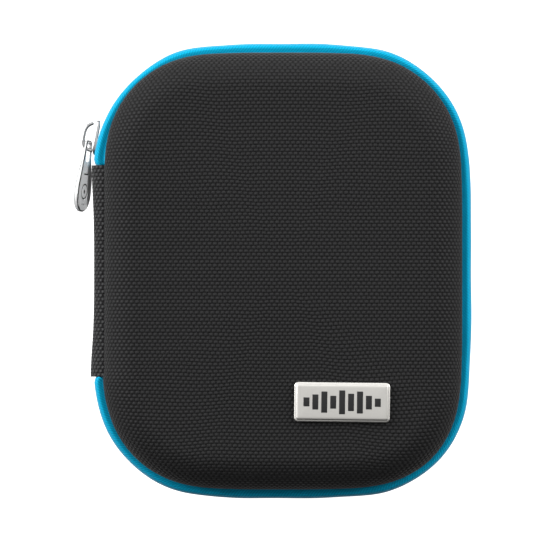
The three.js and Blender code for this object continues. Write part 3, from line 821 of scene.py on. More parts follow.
def nickel_material(name, rgb):
    """Silver lacquer over the pull, with painted shade along its outer edge and in its chamfer,
    and dark filling in its engraved marks.

    The piece's coordinates hold each point's distance to the border and to the nearest mark.
    """
    material, n, shader, where = new_material(name)
    wear = n.group(shared_group("metal_wear"), Place=where["Object"], Size=1.0)
    place = n.add("ShaderNodeSeparateXYZ", Vector=where["UV"]).outputs
    silver = n.mix(n.ramp(wear["Smudges"], 0.3, 0.75, 0.0, 0.35), toned(rgb, 1.4),
                   toned(rgb, 1.2))
    # Painted shade: the silver darkens at the very edge and turns near black over the rest of the
    # chamfer.
    edge = n.ramp(place["X"], 0.0, 0.05)
    silver_with_painted_edge_shade = n.mix(edge, toned(rgb, 0.62), silver)
    chamfer = n.math("MULTIPLY", edge, n.ramp(place["X"], TAB_EDGE, TAB_EDGE + 0.05, 1.0, 0.0))
    marks = n.ramp(place["Y"], 0.14, 0.24, 1.0, 0.0)
    # dark holds the painted shade of the chamfer and the dark filling of the marks.
    dark = n.math("MAXIMUM", chamfer, marks)
    n.feed(shader["Base Color"], n.mix(dark, silver_with_painted_edge_shade, (0.012, 0.012, 0.012)))
    shader["Metallic"].default_value = 0.15
    rough = n.math("ADD", n.ramp(wear["Smudges"], 0.3, 0.8, 0.28, 0.42),
                   n.math("MULTIPLY", wear["Scratches"], 0.1))
    n.feed(shader["Roughness"], rough)
    n.feed(shader["Normal"], n.bump(wear["Scratches"], 0.004, 0.5))
    return material


def badge_material(name, rgb):
    """Satin metal: fine even blast with faint scratches."""
    material, n, shader, where = new_material(name)
    wear = n.group(shared_group("metal_wear"), Place=where["Object"], Size=1.0)
    grain = n.noise(where["Object"], 9000.0, 2.0)
    n.feed(shader["Base Color"], n.mix(n.ramp(grain, 0.3, 0.7), toned(rgb, 0.95),
                                       toned(rgb, 1.05)))
    shader["Metallic"].default_value = 1.0
    rough = n.math("ADD", n.ramp(grain, 0.2, 0.8, 0.36, 0.46),
                   n.math("MULTIPLY", wear["Scratches"], 0.1))
    n.feed(shader["Roughness"], rough)
    n.feed(shader["Normal"], n.bump(grain, 0.003, 0.6))
    return material


def enamel_material(name, rgb):
    """Dark filling of the badge: satin enamel with a faint grain."""
    material, n, shader, where = new_material(name)
    grain = n.noise(where["Object"], 4000.0, 3.0)
    n.feed(shader["Base Color"], n.mix(n.ramp(grain, 0.3, 0.7), toned(rgb, 0.8),
                                       toned(rgb, 1.25)))
    n.feed(shader["Roughness"], n.ramp(grain, 0.2, 0.8, 0.38, 0.52))
    shader["Specular IOR Level"].default_value = 0.2
    n.feed(shader["Normal"], n.bump(grain, 0.004))
    return material


def thread_material(name, rgb):
    """Sewing thread: two plies twisted together, with painted shade between the plies."""
    material, n, shader, where = new_material(name)
    twist = n.group(shared_group("twill_weave"), Cloth=where["UV"], Pitch=0.35, Slope=0.8)
    # Painted shade: the colour follows the twist's height, darker in the grooves between the
    # plies.
    n.feed(shader["Base Color"], n.mix(twist["Height"], toned(rgb, 0.6), toned(rgb, 3.2)))
    n.feed(shader["Roughness"], n.ramp(twist["Fibre"], 0.2, 0.8, 0.5, 0.7))
    n.feed(shader["Normal"], n.bump(twist["Height"], 0.05))
    return material


def finish_for(slot):
    """A finish of the case by name, made the first time that it is asked for."""
    name = f"{slot}_finish"
    found = bpy.data.materials.get(name)
    if found:
        return found
    tones = bpy.context.scene.case_colours
    sizes = bpy.context.scene.case_sizes
    makers = {
        # A woven finish's next to last number is the painted shade in the gaps of its weave.
        "cover_cloth": lambda: woven_material(name, tuple(tones.cover), sizes.warp_pitch / MM,
                                              sizes.weft_pitch / MM, 0.28, 0.1, 0.45),
        "spine_cloth": lambda: woven_material(name, tuple(tones.spine), 0.6, 1.0, 0.6, 0.03, 0.3),
        "eva_foam": lambda: foam_material(name, tuple(tones.foam)),
        "lining_cloth": lambda: lining_material(name, tuple(tones.lining)),
        "zip_tape": lambda: tape_material(name, tuple(tones.tape)),
        "zip_coil": lambda: coil_material(name, tuple(tones.coil)),
        "binding_tape": lambda: ribbed_material(name, tuple(tones.trim), 0.55, 0.3, 0.1),
        "elastic": lambda: ribbed_material(name, tuple(tones.trim), 0.9, 0.45, 0.16),
        "pocket_mesh": lambda: net_material(name, tuple(tones.trim)),
        "sewing_thread": lambda: thread_material(name, tuple(tones.trim)),
        "slider_metal": lambda: chrome_material(name, toned(tones.chrome, 0.5)),
        "pull_metal": lambda: nickel_material(name, tuple(tones.chrome)),
        "badge_metal": lambda: badge_material(name, tuple(tones.badge)),
        "badge_dark": lambda: enamel_material(name, tuple(tones.badge_dark)),
    }
    return makers[slot]()


# ---- Shells ----

# Rings over each stretch of a shell's face, spacing round the outline, and the cap's last scale.
EDGE_STEPS = 16
WALL_STEPS = 5
CAP_STEPS = 16
RIM_STEPS = 5
OUTLINE_SPACING = 2.4
CAP_END = 0.03


def shell_profile(case, crown, depth, start):
    """One face of a shell from a starting height to the middle of its cap.

    Straight up the wall; round the edge on a quarter circle of the edge radius less the depth;
    then rings that shrink to the middle and rise by crown times (1 - scale squared) squared.
    Gives each ring's inset, height, scale, and reach, its distance from the outline's core
    measured over the surface as the cloth lies.
    """
    edge = case.half_height - crown
    radius = case.edge_radius - depth
    arc_start = edge - case.edge_radius
    wall = np.linspace(start, arc_start, WALL_STEPS, endpoint=False)
    turn = np.linspace(0, np.pi / 2, EDGE_STEPS)
    scale = np.linspace(1, CAP_END, CAP_STEPS)[1:]
    inset = np.concatenate([
        np.full(WALL_STEPS, case.wall + depth),
        case.cap_inset - radius * np.cos(turn),
        np.full(CAP_STEPS - 1, case.cap_inset),
    ])
    height = np.concatenate([
        wall,
        arc_start + radius * np.sin(turn),
        edge - depth + crown * (1 - scale**2) ** 2,
    ])
    flat = case.radius - case.cap_inset
    reach = np.concatenate([
        flat + case.edge_radius * np.pi / 2 + arc_start - wall,
        flat + case.edge_radius * (np.pi / 2 - turn),
        np.full(CAP_STEPS - 1, flat),
    ])
    scales = np.concatenate([np.ones(WALL_STEPS + EDGE_STEPS), scale])
    return np.stack([inset, height, scales, reach], axis=1)


def rim_turn(case, depth, thickness):
    """The rounded rim between a shell's two faces: a half circle as wide as the shell."""
    half = thickness / 2
    turn = np.linspace(0, np.pi, RIM_STEPS + 2)[1:-1]
    inset = case.wall + depth + half - half * np.cos(turn)
    height = case.rim + half - half * np.sin(turn)
    flat = case.radius - case.cap_inset + case.edge_radius * np.pi / 2
    reach = flat + case.half_height - case.edge_radius - case.rim + half * turn
    return np.stack([inset, height, np.ones_like(turn), reach], axis=1)


def shell_body(case, side, depth, thickness):
    """A bowl-shaped layer: its outer face from the cap to the rim, the rim, its inner face."""
    crown = case.crown if side > 0 else 0.0
    start = case.rim + thickness / 2
    outer = shell_profile(case, crown, depth, start)[::-1]
    inner = shell_profile(case, crown, depth + thickness, start)
    profile = np.vstack([outer, rim_turn(case, depth, thickness), inner])
    runs = round_the_case(case, OUTLINE_SPACING)
    inset, height, scale, reach = (column[:, None] for column in profile.T)
    run = np.broadcast_to(runs, (len(profile), len(runs)))
    z = np.broadcast_to(case.mid + side * height, run.shape)
    rings = place_on_outline(case, run, inset + shell_settle(case, run), z)
    rings[..., :2] *= scale[..., None]
    anchor, normal = outline_at(case, np.append(runs, outline_length(case)))
    cloth = (anchor + normal * reach[..., None]) * scale[..., None]
    body = Body()
    body.add_tube(rings, cloth)
    return body


def make_shells(case, sizes):
    """Cover cloth, foam and lining of both halves."""
    gap = sizes.layer_gap / MM
    cover = sizes.cover_thickness / MM
    foam = sizes.foam_thickness / MM
    lining = sizes.lining_thickness / MM
    layers = [
        ("fabric_cover", 0.0, cover, "cover_cloth"),
        ("foam_shell", cover + gap, foam, "eva_foam"),
        ("lining", cover + foam + 2 * gap, lining, "lining_cloth"),
    ]
    for half, side in SIDES.items():
        for name, depth, thickness, slot in layers:
            node = f"{half}_{name}"
            body = shell_body(case, side, depth, thickness)
            body.make(f"{node}_cloth" if "foam" not in name else f"{node}_moulding",
                      finish_for(slot), half, [node], slot)


# ---- Rim bindings and their stitches ----

STITCH_HEIGHTS = (7.6, 11.2)
STITCH_SINK = 0.05
STITCH_THICKNESS = 0.34


def rounded_section(corners, radius, steps=4):
    """A closed section with each corner cut back by a radius along both sides and bridged by a
    quadratic curve, and each point's distance along it."""
    points = np.array(corners, float)
    before = np.roll(points, 1, axis=0) - points
    after = np.roll(points, -1, axis=0) - points
    start = points + radius * before / np.linalg.norm(before, axis=1, keepdims=True)
    end = points + radius * after / np.linalg.norm(after, axis=1, keepdims=True)
    t = np.linspace(0, 1, steps)[None, :, None]
    curve = (1 - t) ** 2 * start[:, None] + 2 * t * (1 - t) * points[:, None] + t**2 * end[:, None]
    section = curve.reshape(-1, 2)
    return section, distance_along(section)


def stitch_row(case, body, pitch, inset, height, side, thickness):
    """A row of stitches round the outline: each is a short thread whose middle stands proud.

    A stitch's point stands at its run, at a height and inset off its centre line by a circle of
    the thread's radius, which shrinks to nothing at both ends.
    """
    count = int(outline_length(case) / pitch)
    share = np.linspace(0, 1, 7)
    around = np.linspace(0, 2 * np.pi, 6, endpoint=False)
    along, ring = np.meshgrid(share, around, indexing="ij")
    radius = thickness / 2 * np.sqrt(np.clip(1 - (2 * along - 1) ** 4, 0.03, 1))
    arch = thickness * 0.35 * np.sin(np.pi * along)
    for index in range(count):
        run = (index + 0.12 + 0.76 * along) * pitch
        rise = height + radius * np.sin(ring)
        depth = inset + arch + radius * np.cos(ring)
        depth = depth + shell_settle(case, run)
        rings = place_on_outline(case, run, depth, case.mid + side * rise)
        cloth = np.stack(np.meshgrid(share * pitch, np.linspace(0, 1, 7), indexing="ij"), -1)
        body.add_tube(rings, cloth)


def make_bindings(case, sizes):
    """The L-shaped bindings inside both rims and the stitches that hold them."""
    section, along = rounded_section(BINDING_SECTION, 0.2)
    room_face = max(inset for inset, _ in BINDING_SECTION)
    for half, side in SIDES.items():
        body = Body()
        sweep(case, body, round_the_case(case, 2.0), section, along, side, loops=True,
              wave=lambda run, height: -shell_settle(case, run))
        body.make(f"{half}_binding", finish_for("binding_tape"), half,
                  [f"{half}_rim_binding"], "binding_tape")
        stitches = Body()
        for height in STITCH_HEIGHTS:
            stitch_row(case, stitches, sizes.stitch_length / MM, room_face - STITCH_SINK, height,
                       side, STITCH_THICKNESS)
        stitches.make(f"{half}_binding_stitches", finish_for("sewing_thread"), half, [],
                      "binding_tape")


# ---- Zip ----

# Middle and half widths of a coil loop as (inset, height), its half height where the zip is open,
# points to a loop, and how far the tape runs on under the spine.
COIL_CENTRE = (0.72, 0.98)
COIL_REACH = (0.36, 1.12)
COIL_OPEN_REACH = 0.75
COIL_STEPS = 14
TAPE_UNDER_SPINE = 0.75
TAPE_SPACING = 0.8


def tape_wave(case):
    """The tape's slight waver, strongest on the bulge, and how its ends tuck in.

    The waver is two slow sines of the run. The tuck draws the last millimetres inwards, under
    the ends of the spine.
    """
    first, last = tape_ends(case)

    def wave(run, height):
        bulge = np.exp(-(((height - 5.1) / 1.6) ** 2))
        waver = 0.045 * bulge * (np.sin(run / 5.3) + np.sin(run / 3.1 + 1.0))
        from_end = np.minimum(run - first, last - run)
        return waver - 0.6 * (1 - eased(from_end, 0.2, 1.2))

    return wave


def tape_ends(case):
    """Runs at which the tape starts and ends, a little way under the spine."""
    first, last = zip_ends(case)
    return first - TAPE_UNDER_SPINE, last + TAPE_UNDER_SPINE


def make_tapes(case):
    """The two halves of the tape; the lid's rides on no body."""
    section, along = strip_section(smooth_line(TAPE_LINE, 6), TAPE_THICKNESS)
    first, last = tape_ends(case)
    runs = np.linspace(first, last, round((last - first) / TAPE_SPACING))
    for half, side in SIDES.items():
        body = Body()
        sweep(case, body, runs, section, along, side, wave=tape_wave(case))
        rides = half if half == "base" else None
        piece = body.make(f"{half}_tape", finish_for("zip_tape"), rides,
                          [f"{half}_zip_tape"], "zip_tape")
        if half == "lid":
            bend_at_hinge(piece)


def bend_at_hinge(piece):
    """Bakes a piece of the lid's zip into its mesh, where it rides on no body."""
    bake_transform(piece)


def coil_body(case, sizes, side):
    """One half of the coil, a wire wound in flat loops along the zip.

    At turn t the wire's middle stands at run pitch times t, at inset and height on an ellipse of
    angle 2 pi t. The loops reach past the mid plane to mesh with the other half's, which are
    shifted by half a pitch, and draw back in front of the slider.
    """
    pitch = sizes.coil_pitch / MM
    wire = sizes.coil_wire / MM / 2
    first, last = zip_ends(case)
    slider_run = case.radius * (math.pi - sizes.slider_angle)
    shift = 0.25 * pitch * side
    turns = np.arange(0.5, (last - first) / pitch - 1, 1 / COIL_STEPS)
    run = first + pitch * turns + shift
    apart = np.clip((slider_run + 1.0 - run) / 4.0, 0, 1)
    apart = apart * apart * (3 - 2 * apart)
    reach = COIL_REACH[1] * (1 - apart) + COIL_OPEN_REACH * apart
    middle = COIL_CENTRE[1] + (COIL_REACH[1] - reach) * 1.05
    turn = 2 * np.pi * turns
    inset = COIL_CENTRE[0] - COIL_REACH[0] * np.sin(turn)
    height = middle + reach * np.cos(turn)
    line = place_on_outline(case, run, inset, case.mid + side * height)
    return wire_body(line, wire)


def wire_body(line, radius, sides=6):
    """A round wire along a line of points: circles square to the line, on axes taken from the
    line's direction and the plane that it turns in."""
    tangent = np.gradient(line, axis=0)
    tangent /= np.linalg.norm(tangent, axis=1, keepdims=True)
    bend = np.gradient(tangent, axis=0)
    bend -= tangent * (bend * tangent).sum(axis=1, keepdims=True)
    bend /= np.linalg.norm(bend, axis=1, keepdims=True)
    other = np.cross(tangent, bend)
    ring = np.linspace(0, 2 * np.pi, sides, endpoint=False)[None, :, None]
    rings = line[:, None] + radius * (np.cos(ring) * bend[:, None] + np.sin(ring) * other[:, None])
    along = distance_along(line)
    cloth = np.stack(np.meshgrid(along, np.linspace(0, 1.5, sides + 1), indexing="ij"), -1)
    body = Body()
    body.add_tube(rings, cloth)
    return body


def make_coils(case, sizes):
    """Both halves of the coil."""
    for half, side in SIDES.items():
        rides = half if half == "base" else None
        piece = coil_body(case, sizes, side).make(
            f"{half}_coil", finish_for("zip_coil"), rides, [f"{half}_zip_coil"], "zip_coil")
        if half == "lid":
            bend_at_hinge(piece)


# ---- Spine ----


def spine_swell(half_length):
    """How the spine's cloth lies: drawn in along its middle, stood out by the zip at both ends
    in bell curves, with a small ripple for each thick thread."""
    def wave(y, height):
        upper = 0.8 * np.exp(-(((half_length - y) / 12.0) ** 2))
        lower = 1.05 * np.exp(-(((half_length + y) / 12.0) ** 2))
        threads = 0.03 * np.cos(2 * np.pi * y / 1.0)
        return (upper + lower + threads - 0.45) * np.clip(1.6 - np.abs(height) / 4.6, 0, 1)
    return wave


def straight_sweep(case, half_length, section, along, spacing, wave):
    """Carries a section along the straight left side, from its upper end to its lower."""
    y = np.linspace(half_length, -half_length, round(2 * half_length / spacing))
    length_y, inset = np.meshgrid(y, section[:, 0], indexing="ij")
    height = np.broadcast_to(section[:, 1], inset.shape)
    inset = inset - wave(length_y, height)
    rings = np.stack([inset - case.half_x, length_y, case.mid + height], axis=-1)
    u, v = np.meshgrid(y, np.append(along, along[0]), indexing="ij")
    body = Body()
    body.add_tube(rings, np.stack([v, u], axis=-1))
    return body


def make_spine(case):
    """The cloth hinge, outside and inside, between base and lid."""
    low, high = box_mm("spine_webbing")
    half_length = (high[1] - low[1]) / 2
    parts = [
        ("spine_cloth", SPINE_HALF_LINE, SPINE_THICKNESS, "spine_webbing", "spine_cloth",
         spine_swell(half_length)),
        ("spine_inside", SPINE_LINING_HALF_LINE, SPINE_LINING_THICKNESS, "spine_lining",
         "lining_cloth", lambda run, height: 0.0 * run),
    ]
    for name, half_line, thickness, node, slot, wave in parts:
        section, along = strip_section(smooth_line(mirrored(half_line), 6), thickness)
        body = straight_sweep(case, half_length, section, along, 0.35, wave)
        piece = body.make(name, finish_for(slot), None, [node], slot)
        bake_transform(piece)


# ---- Pocket ----


def make_pocket(case):
    """The net pocket inside the lid and the elastic along its opening."""
    low, high = box_mm("mesh_pocket")
    runs = round_the_case(case, 1.0)
    inset = case.half_x - high[0] + shell_settle(case, runs)
    edge = place_on_outline(case, runs, inset, 0 * runs)[:, :2]
    edge = edge[np.argsort(edge[:, 1])]
    left, right = edge[edge[:, 0] < 0], edge[edge[:, 0] > 0]
    share = np.linspace(0, 1, 70)
    bottom = edge[:, 1].min() + 0.05
    y = bottom + (high[1] - bottom) * share**1.5
    ends = [np.interp(y, side[:, 1], side[:, 0])[:, None] for side in (left, right)]
    across = np.linspace(0, 1, 60)
    across = np.concatenate([across, across[::-1]])
    x = ends[0] + (ends[1] - ends[0]) * across
    y_grid = np.broadcast_to(y[:, None], x.shape)
    middle = (low[2] + high[2]) / 2
    ripple = 0.12 * np.sin(x / 6.0) * np.cos(y_grid / 7.0)
    face = np.concatenate([np.ones(60), -np.ones(60)]) * 0.12
    rings = np.stack([x, y_grid, middle + ripple + face], axis=-1)
    body = Body()
    closed = np.concatenate([rings, rings[:, :1]], axis=1)
    body.add_tube(rings, closed[..., :2])
    net = body.make("pocket_net", finish_for("pocket_mesh"), "lid", ["mesh_pocket"],
                    "pocket_mesh")
    elastic = make_elastic()


def make_elastic():
    """The elastic: a flat rounded strip, gathered into small even ripples along its length."""
    low, high = box_mm("pocket_elastic")
    x = np.linspace(low[0], high[0], 220)
    centre = (low + high) / 2
    half = (high - low) / 2
    corners = [(-half[1], -half[2]), (half[1], -half[2]), (half[1], half[2]), (-half[1], half[2])]
    section, along = rounded_section(corners, 0.45)
    gather = 0.12 * np.sin(2 * np.pi * x / 2.3)[:, None]
    swell = 0.92 + gather * 0.6
    rings = np.stack([
        np.broadcast_to(x[:, None], (len(x), len(section))),
        centre[1] + section[:, 0] * (1 + 0.1 * gather),
        centre[2] + section[:, 1] * swell,
    ], axis=-1)
    u, v = np.meshgrid(x, np.append(along, along[0]), indexing="ij")
    body = Body()
    body.add_tube(rings, np.stack([u, v], axis=-1))
    return body.make("pocket_elastic_band", finish_for("elastic"), "lid", ["pocket_elastic"],
                     "elastic")


# ---- Slider, crown and pull ----

# Distances out from the centre of the corner that the slider rides.
SLIDER_RADIUS = 34.2
CROWN_FOOT = 34.4
CROWN_TOP = 37.35
CROWN_FREE_END = 35.35
# Sizes of the slider's parts.
SLIDER_ROUNDING = 0.16
CROWN_HALF = 3.65
CROWN_THICKNESS = 0.9
CROWN_WIDTH = 1.5


def slider_axes(case, sizes):
    """Origin and axes of the slider: outwards, along the zip towards the spine, and up."""
    place = sizes.slider_angle
    turn = sizes.slider_angle + sizes.slider_skew
    origin = np.array([
        -case.core_x + SLIDER_RADIUS * math.cos(place),
        case.core_y + SLIDER_RADIUS * math.sin(place),
        case.mid,
    ])
    outwards = np.array([math.cos(turn), math.sin(turn), 0])
    travel = np.array([-math.sin(turn), math.cos(turn), 0])
    return origin, outwards, travel, np.array([0, 0, 1.0])


def eased_copy(node, name, rounding, slot, body):
    """A merged copy of a sharp-edged CAD node with its edges rounded by a bevel."""
    mesh = frame["nodes"][node].data.copy()
    mesh.name = name
    work = bmesh.new()
    work.from_mesh(mesh)
    bmesh.ops.remove_doubles(work, verts=work.verts, dist=0.01 * MM)
    bmesh.ops.dissolve_limit(work, angle_limit=math.radians(1), verts=work.verts,
                             edges=work.edges)
    work.to_mesh(mesh)
    work.free()
    mesh.materials.clear()
    mesh.materials.append(finish_for(slot))
    piece = bpy.data.objects.new(name, mesh)
    bpy.context.scene.collection.objects.link(piece)
    bevel = piece.modifiers.new("rounding", "BEVEL")
    bevel.width = rounding * MM
    bevel.segments = 3
    bevel.limit_method = "ANGLE"
    bevel.angle_limit = math.radians(35)
    bevel.harden_normals = True
    mesh.shade_smooth()
    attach(piece, body)
    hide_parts(node)
    return piece


def superellipse(steps, half_a, half_b, power):
    """Points of a superellipse: each half width times cosine or sine to the power 2 / power."""
    turn = np.linspace(0, 2 * np.pi, steps, endpoint=False)
    cosine, sine = np.cos(turn), np.sin(turn)
    return np.stack([
        half_a * np.sign(cosine) * np.abs(cosine) ** (2 / power),
        half_b * np.sign(sine) * np.abs(sine) ** (2 / power),
    ], axis=-1)


def make_crown(case, sizes):
    """The arch that holds the pull.

    Its middle line is a superellipse arch over the plate, from the front foot to a free rear
    end; a rounded flat section square to the line is carried along it and closes to a blunt end.
    """
    origin, outwards, travel, up = slider_axes(case, sizes)
    rise = CROWN_TOP - CROWN_FOOT
    free = math.pi - math.asin(((CROWN_FREE_END - CROWN_FOOT) / rise) ** 1.25)
    turn = np.linspace(0, free, 60)
    out = CROWN_FOOT + rise * np.sin(turn) ** 0.8 - SLIDER_RADIUS
    along = CROWN_HALF * np.sign(np.cos(turn)) * np.abs(np.cos(turn)) ** 0.75
    line = np.stack([out, along], axis=-1)
    path = distance_along(line)
    tangent = np.gradient(line, path, axis=0)
    tangent /= np.linalg.norm(tangent, axis=1, keepdims=True)
    normal = np.stack([tangent[:, 1], -tangent[:, 0]], axis=-1)
    section = superellipse(20, CROWN_THICKNESS / 2, CROWN_WIDTH / 2, 3.5)
    blunt = np.sqrt(np.clip(1 - np.clip(1 - (path[-1] - path) / 0.4, 0, 1) ** 2, 0.02, 1))
    flat = line[:, None] + normal[:, None] * (section[:, 0] * blunt[:, None])[..., None]
    height = section[:, 1] * blunt[:, None]
    rings = (origin + flat[..., :1] * outwards + flat[..., 1:] * travel
             + height[..., None] * up)
    body = Body()
    body.add_tube(rings)
    body.make("crown", finish_for("slider_metal"), "slider", ["slider_crown"], "slider_metal")


# Points of the pull tab's right half as (half width, distance below its pivot); a single number
# is the distance only, but for the bar's flat, which is a half width.
TAB_BAR = 0.45
TAB_FLAT = 0.9
TAB_TOP = (1.85, 0.8)
TAB_NECK = (2.45, 4.6)
TAB_WAIST = (2.8, 7.2)
TAB_BELLY = (4.4, 14.0)
TAB_SWELL = 9.4
TAB_ROUND = (2.5, 16.9)
TAB_TIP = 18.6
# Thickness at the bar and at the belly, chamfer, border, how deep the face and its marks lie, the
# engraved ring's distance below the pivot and radius, and the slot through the tab.
TAB_THICKNESS = (0.88, 1.25)
TAB_EDGE = 0.28
TAB_BORDER = 0.7
TAB_RECESS = 0.08
TAB_ENGRAVING = 0.14
TAB_RING = (13.2, 1.9)
SLOT_HALF_WIDTH = 1.25
SLOT_END = 5.2


def bezier(points, steps):
    """A Bezier curve of two to four points, without its last point."""
    t = np.linspace(0, 1, steps, endpoint=False)[:, None]
    levels = [np.array(point, float) for point in points]
    while len(levels) > 1:
        levels = [(1 - t) * a + t * b for a, b in zip(levels[:-1], levels[1:])]
    return levels[0]


def even_loop(curves, count):
    """Closes curves into one loop and spaces points evenly round it."""
    loop = np.vstack([*curves, curves[0][:1]])
    along = distance_along(loop)
    wanted = np.linspace(0, along[-1], count, endpoint=False)
    return np.stack([np.interp(wanted, along, loop[:, axis]) for axis in (0, 1)], axis=-1)


def tab_outline(count):
    """The tab's teardrop outline, from the middle of its top bar down the right side."""
    belly = TAB_BELLY[0]
    right = [
        [(0, -TAB_BAR), (TAB_FLAT, -TAB_BAR)],
        [(TAB_FLAT, -TAB_BAR), (TAB_TOP[0], -TAB_BAR), TAB_TOP],
        [TAB_TOP, TAB_NECK],
        [TAB_NECK, TAB_WAIST, (belly, TAB_SWELL), TAB_BELLY],
        [TAB_BELLY, (belly, TAB_ROUND[1]), (TAB_ROUND[0], TAB_TIP), (0, TAB_TIP)],
    ]
    left = [[(-x, y) for x, y in reversed(curve)] for curve in reversed(right)]
    return even_loop([bezier(curve, 24) for curve in [*right, *left]], count)


def slot_outline(count):
    """The slot's outline, in step with the tab's."""
    side, end = SLOT_HALF_WIDTH, SLOT_END
    right = [
        [(0, TAB_BAR), (side - 0.3, TAB_BAR)],
        [(side - 0.3, TAB_BAR), (side, TAB_BAR), (side, TAB_BAR + 0.3)],
        [(side, TAB_BAR + 0.3), (side, TAB_NECK[1])],
        [(side, TAB_NECK[1]), (side, end), (0, end)],
    ]
    left = [[(-x, y) for x, y in reversed(curve)] for curve in reversed(right)]
    return even_loop([bezier(curve, 16) for curve in [*right, *left]], count)


def moved_in(loop, distance):
    """A loop moved along its own normals, towards its inside where distance is positive."""
    tangent = np.roll(loop, -1, axis=0) - np.roll(loop, 1, axis=0)
    tangent /= np.linalg.norm(tangent, axis=1, keepdims=True)
    inwards = np.stack([-tangent[:, 1], tangent[:, 0]], axis=-1)
    middle = loop.mean(axis=0)
    if ((middle - loop) * inwards).sum() < 0:
        inwards = -inwards
    return loop + inwards * distance


def nearest(points, loop):
    """Distance from each point to the nearest point of a loop."""
    return np.linalg.norm(points[:, None] - loop[None], axis=-1).min(axis=1)


def eased(value, low, high):
    """Smooth step from 0 at low to 1 at high."""
    share = np.clip((value - low) / (high - low), 0, 1)
    return share * share * (3 - 2 * share)


def tab_marks(points):
    """Distance from each point to the nearest engraved mark: a ring, its middle dot, a bar
    across the neck and two small dots at the tip."""
    x, y = points[..., 0], points[..., 1]
    centre, radius = TAB_RING
    from_centre = np.hypot(x, y - centre)
    bar = np.hypot(np.maximum(np.abs(x) - 1.3, 0), y - centre + 4.6)
    dots = np.hypot(np.abs(x) - 0.55, y - centre - 3.4) - 0.05
    marks = [np.abs(from_centre - radius), from_centre - 0.35, bar, dots]
    return np.minimum.reduce(marks)


def tab_height(points, border, marks):
    """Half thickness of the tab at each point: thin at the bar, thick at the belly, slightly
    hollow inside its border and cut in at the marks."""
    thin, thick = (value / 2 for value in TAB_THICKNESS)
    along = points[..., 1]
    level = thin + (thick - thin) * eased(along, 5.5, 9.0)
    hollow = eased(border, TAB_BORDER, TAB_BORDER + 0.3) * eased(along, 6.4, 7.0)
    cut = (1 - eased(marks, 0.12, 0.3)) * eased(along, 6.4, 7.0)
    return level - TAB_RECESS * hollow - TAB_ENGRAVING * cut


def tab_rings(count=240, levels=56):
    """The tab as rings that go once round its solid: outer edge, upper face, slot, lower face.

    On a face a point is a mix of the outline and the slot's outline. At both edges the outline
    is moved in along a chamfer. Also gives each point's distance to the border and to a mark.
    """
    outline, slot = tab_outline(count), slot_outline(count)
    chamfer = np.linspace(0, TAB_EDGE, 4)
    edge = [moved_in(outline, move) for move in chamfer]
    slot_edge = [moved_in(slot, -move) for move in chamfer]
    share = np.linspace(0, 1, levels)[1:-1, None, None]
    inner = edge[-1] * (1 - share) + slot_edge[-1] * share
    face = np.concatenate([edge, inner, slot_edge[::-1]])
    border = nearest(face.reshape(-1, 2), outline).reshape(face.shape[:-1])
    border[:4] = chamfer[:, None]
    marks = tab_marks(face)
    height = tab_height(face, border, marks)
    height[:4] -= (TAB_EDGE - chamfer)[:, None]
    height[-4:] -= (TAB_EDGE - chamfer[::-1])[:, None]
    upper = np.concatenate([face, height[..., None]], axis=-1)
    lower = upper[::-1] * (1, 1, -1)
    # The border distance also places the pull's painted edge shade.
    cloth = np.stack([border, marks], axis=-1)
    return np.concatenate([upper, lower]), np.concatenate([cloth, cloth[::-1]])


def make_pull(sizes):
    """The teardrop pull tab, hung from its pivot with its upper edge swung outwards."""
    pivot = np.array(next(
        joint["pos_m"] for joint in frame["joints"] if joint["name"] == "pull_swing"
    )) / MM
    lean = math.radians(270) - sizes.tab_lean
    down = np.array([math.cos(lean), math.sin(lean), 0])
    outwards = np.array([down[1], -down[0], 0])
    width = np.array([0, 0, math.cos(sizes.tab_twist)]) + outwards * math.sin(sizes.tab_twist)
    face = np.cross(width, down)
    local, marks = tab_rings()
    marks = np.concatenate([marks, marks[:, :1]], axis=1)
    marks = np.concatenate([marks, marks[:1]])
    rings = pivot + local[..., :1] * width + local[..., 1:2] * down + local[..., 2:] * face
    body = Body()
    body.add_tube(rings, marks, loops=True)
    body.make("pull_tab_plate", finish_for("pull_metal"), "pull", ["pull_tab"],
              "slider_metal")


# ---- Badge ----

# The plate's corner radius, and the level bars let into it.
BADGE_CORNER = 1.1
BADGE_BAR_HEIGHTS = (2.4, 4.0, 5.6, 3.4, 6.3, 4.6, 5.8, 3.6, 2.2)
BADGE_BAR_PITCH = 2.35
BADGE_BAR_WIDTH = 1.6
# Steps of the badge's face as (inset from its outline, height over its underside).
BADGE_PROFILE = [
    (0.25, 0.0), (0.0, 0.12), (0.0, 0.3), (0.06, 0.42), (0.18, 0.5), (0.34, 0.54), (0.52, 0.54),
    (0.6, 0.58), (0.68, 0.72), (0.76, 0.8), (0.9, 0.83), (1.4, 0.84), (2.6, 0.86), (4.9, 0.87),
]


def rounded_rectangle(half_x, half_y, radius, corner_steps=8):
    """Points of a rectangle with round corners, anticlockwise from its right side."""
    turn = np.linspace(0, np.pi / 2, corner_steps)
    corners = []
    for quarter, (x, y) in enumerate(((1, 1), (-1, 1), (-1, -1), (1, -1))):
        place = turn + quarter * np.pi / 2
        centre = np.array([x * (half_x - radius), y * (half_y - radius)])
        corners.append(centre + radius * np.stack([np.cos(place), np.sin(place)], axis=-1))
    return np.vstack(corners)


def badge_place(sizes):
    """Turns points of the badge's own plan into the case's and sets them on the lid."""
    low, high = box_mm("badge_plate")
    centre = (low + high) / 2
    turn = sizes.badge_turn
    spin = np.array([[math.cos(turn), math.sin(turn)], [-math.sin(turn), math.cos(turn)]])

    def place(flat, z):
        return np.concatenate([flat @ spin + centre[:2], z[..., None]], axis=-1)

    return place


def badge_halves(sizes):
    """Half the badge's width and length, from its box on the turned axes."""
    low, high = box_mm("badge_plate")
    wide, tall = (high - low)[:2] / 2
    sine, cosine = abs(math.sin(sizes.badge_turn)), math.cos(sizes.badge_turn)
    spread = cosine * cosine - sine * sine
    return (wide * cosine - tall * sine) / spread, (tall * cosine - wide * sine) / spread


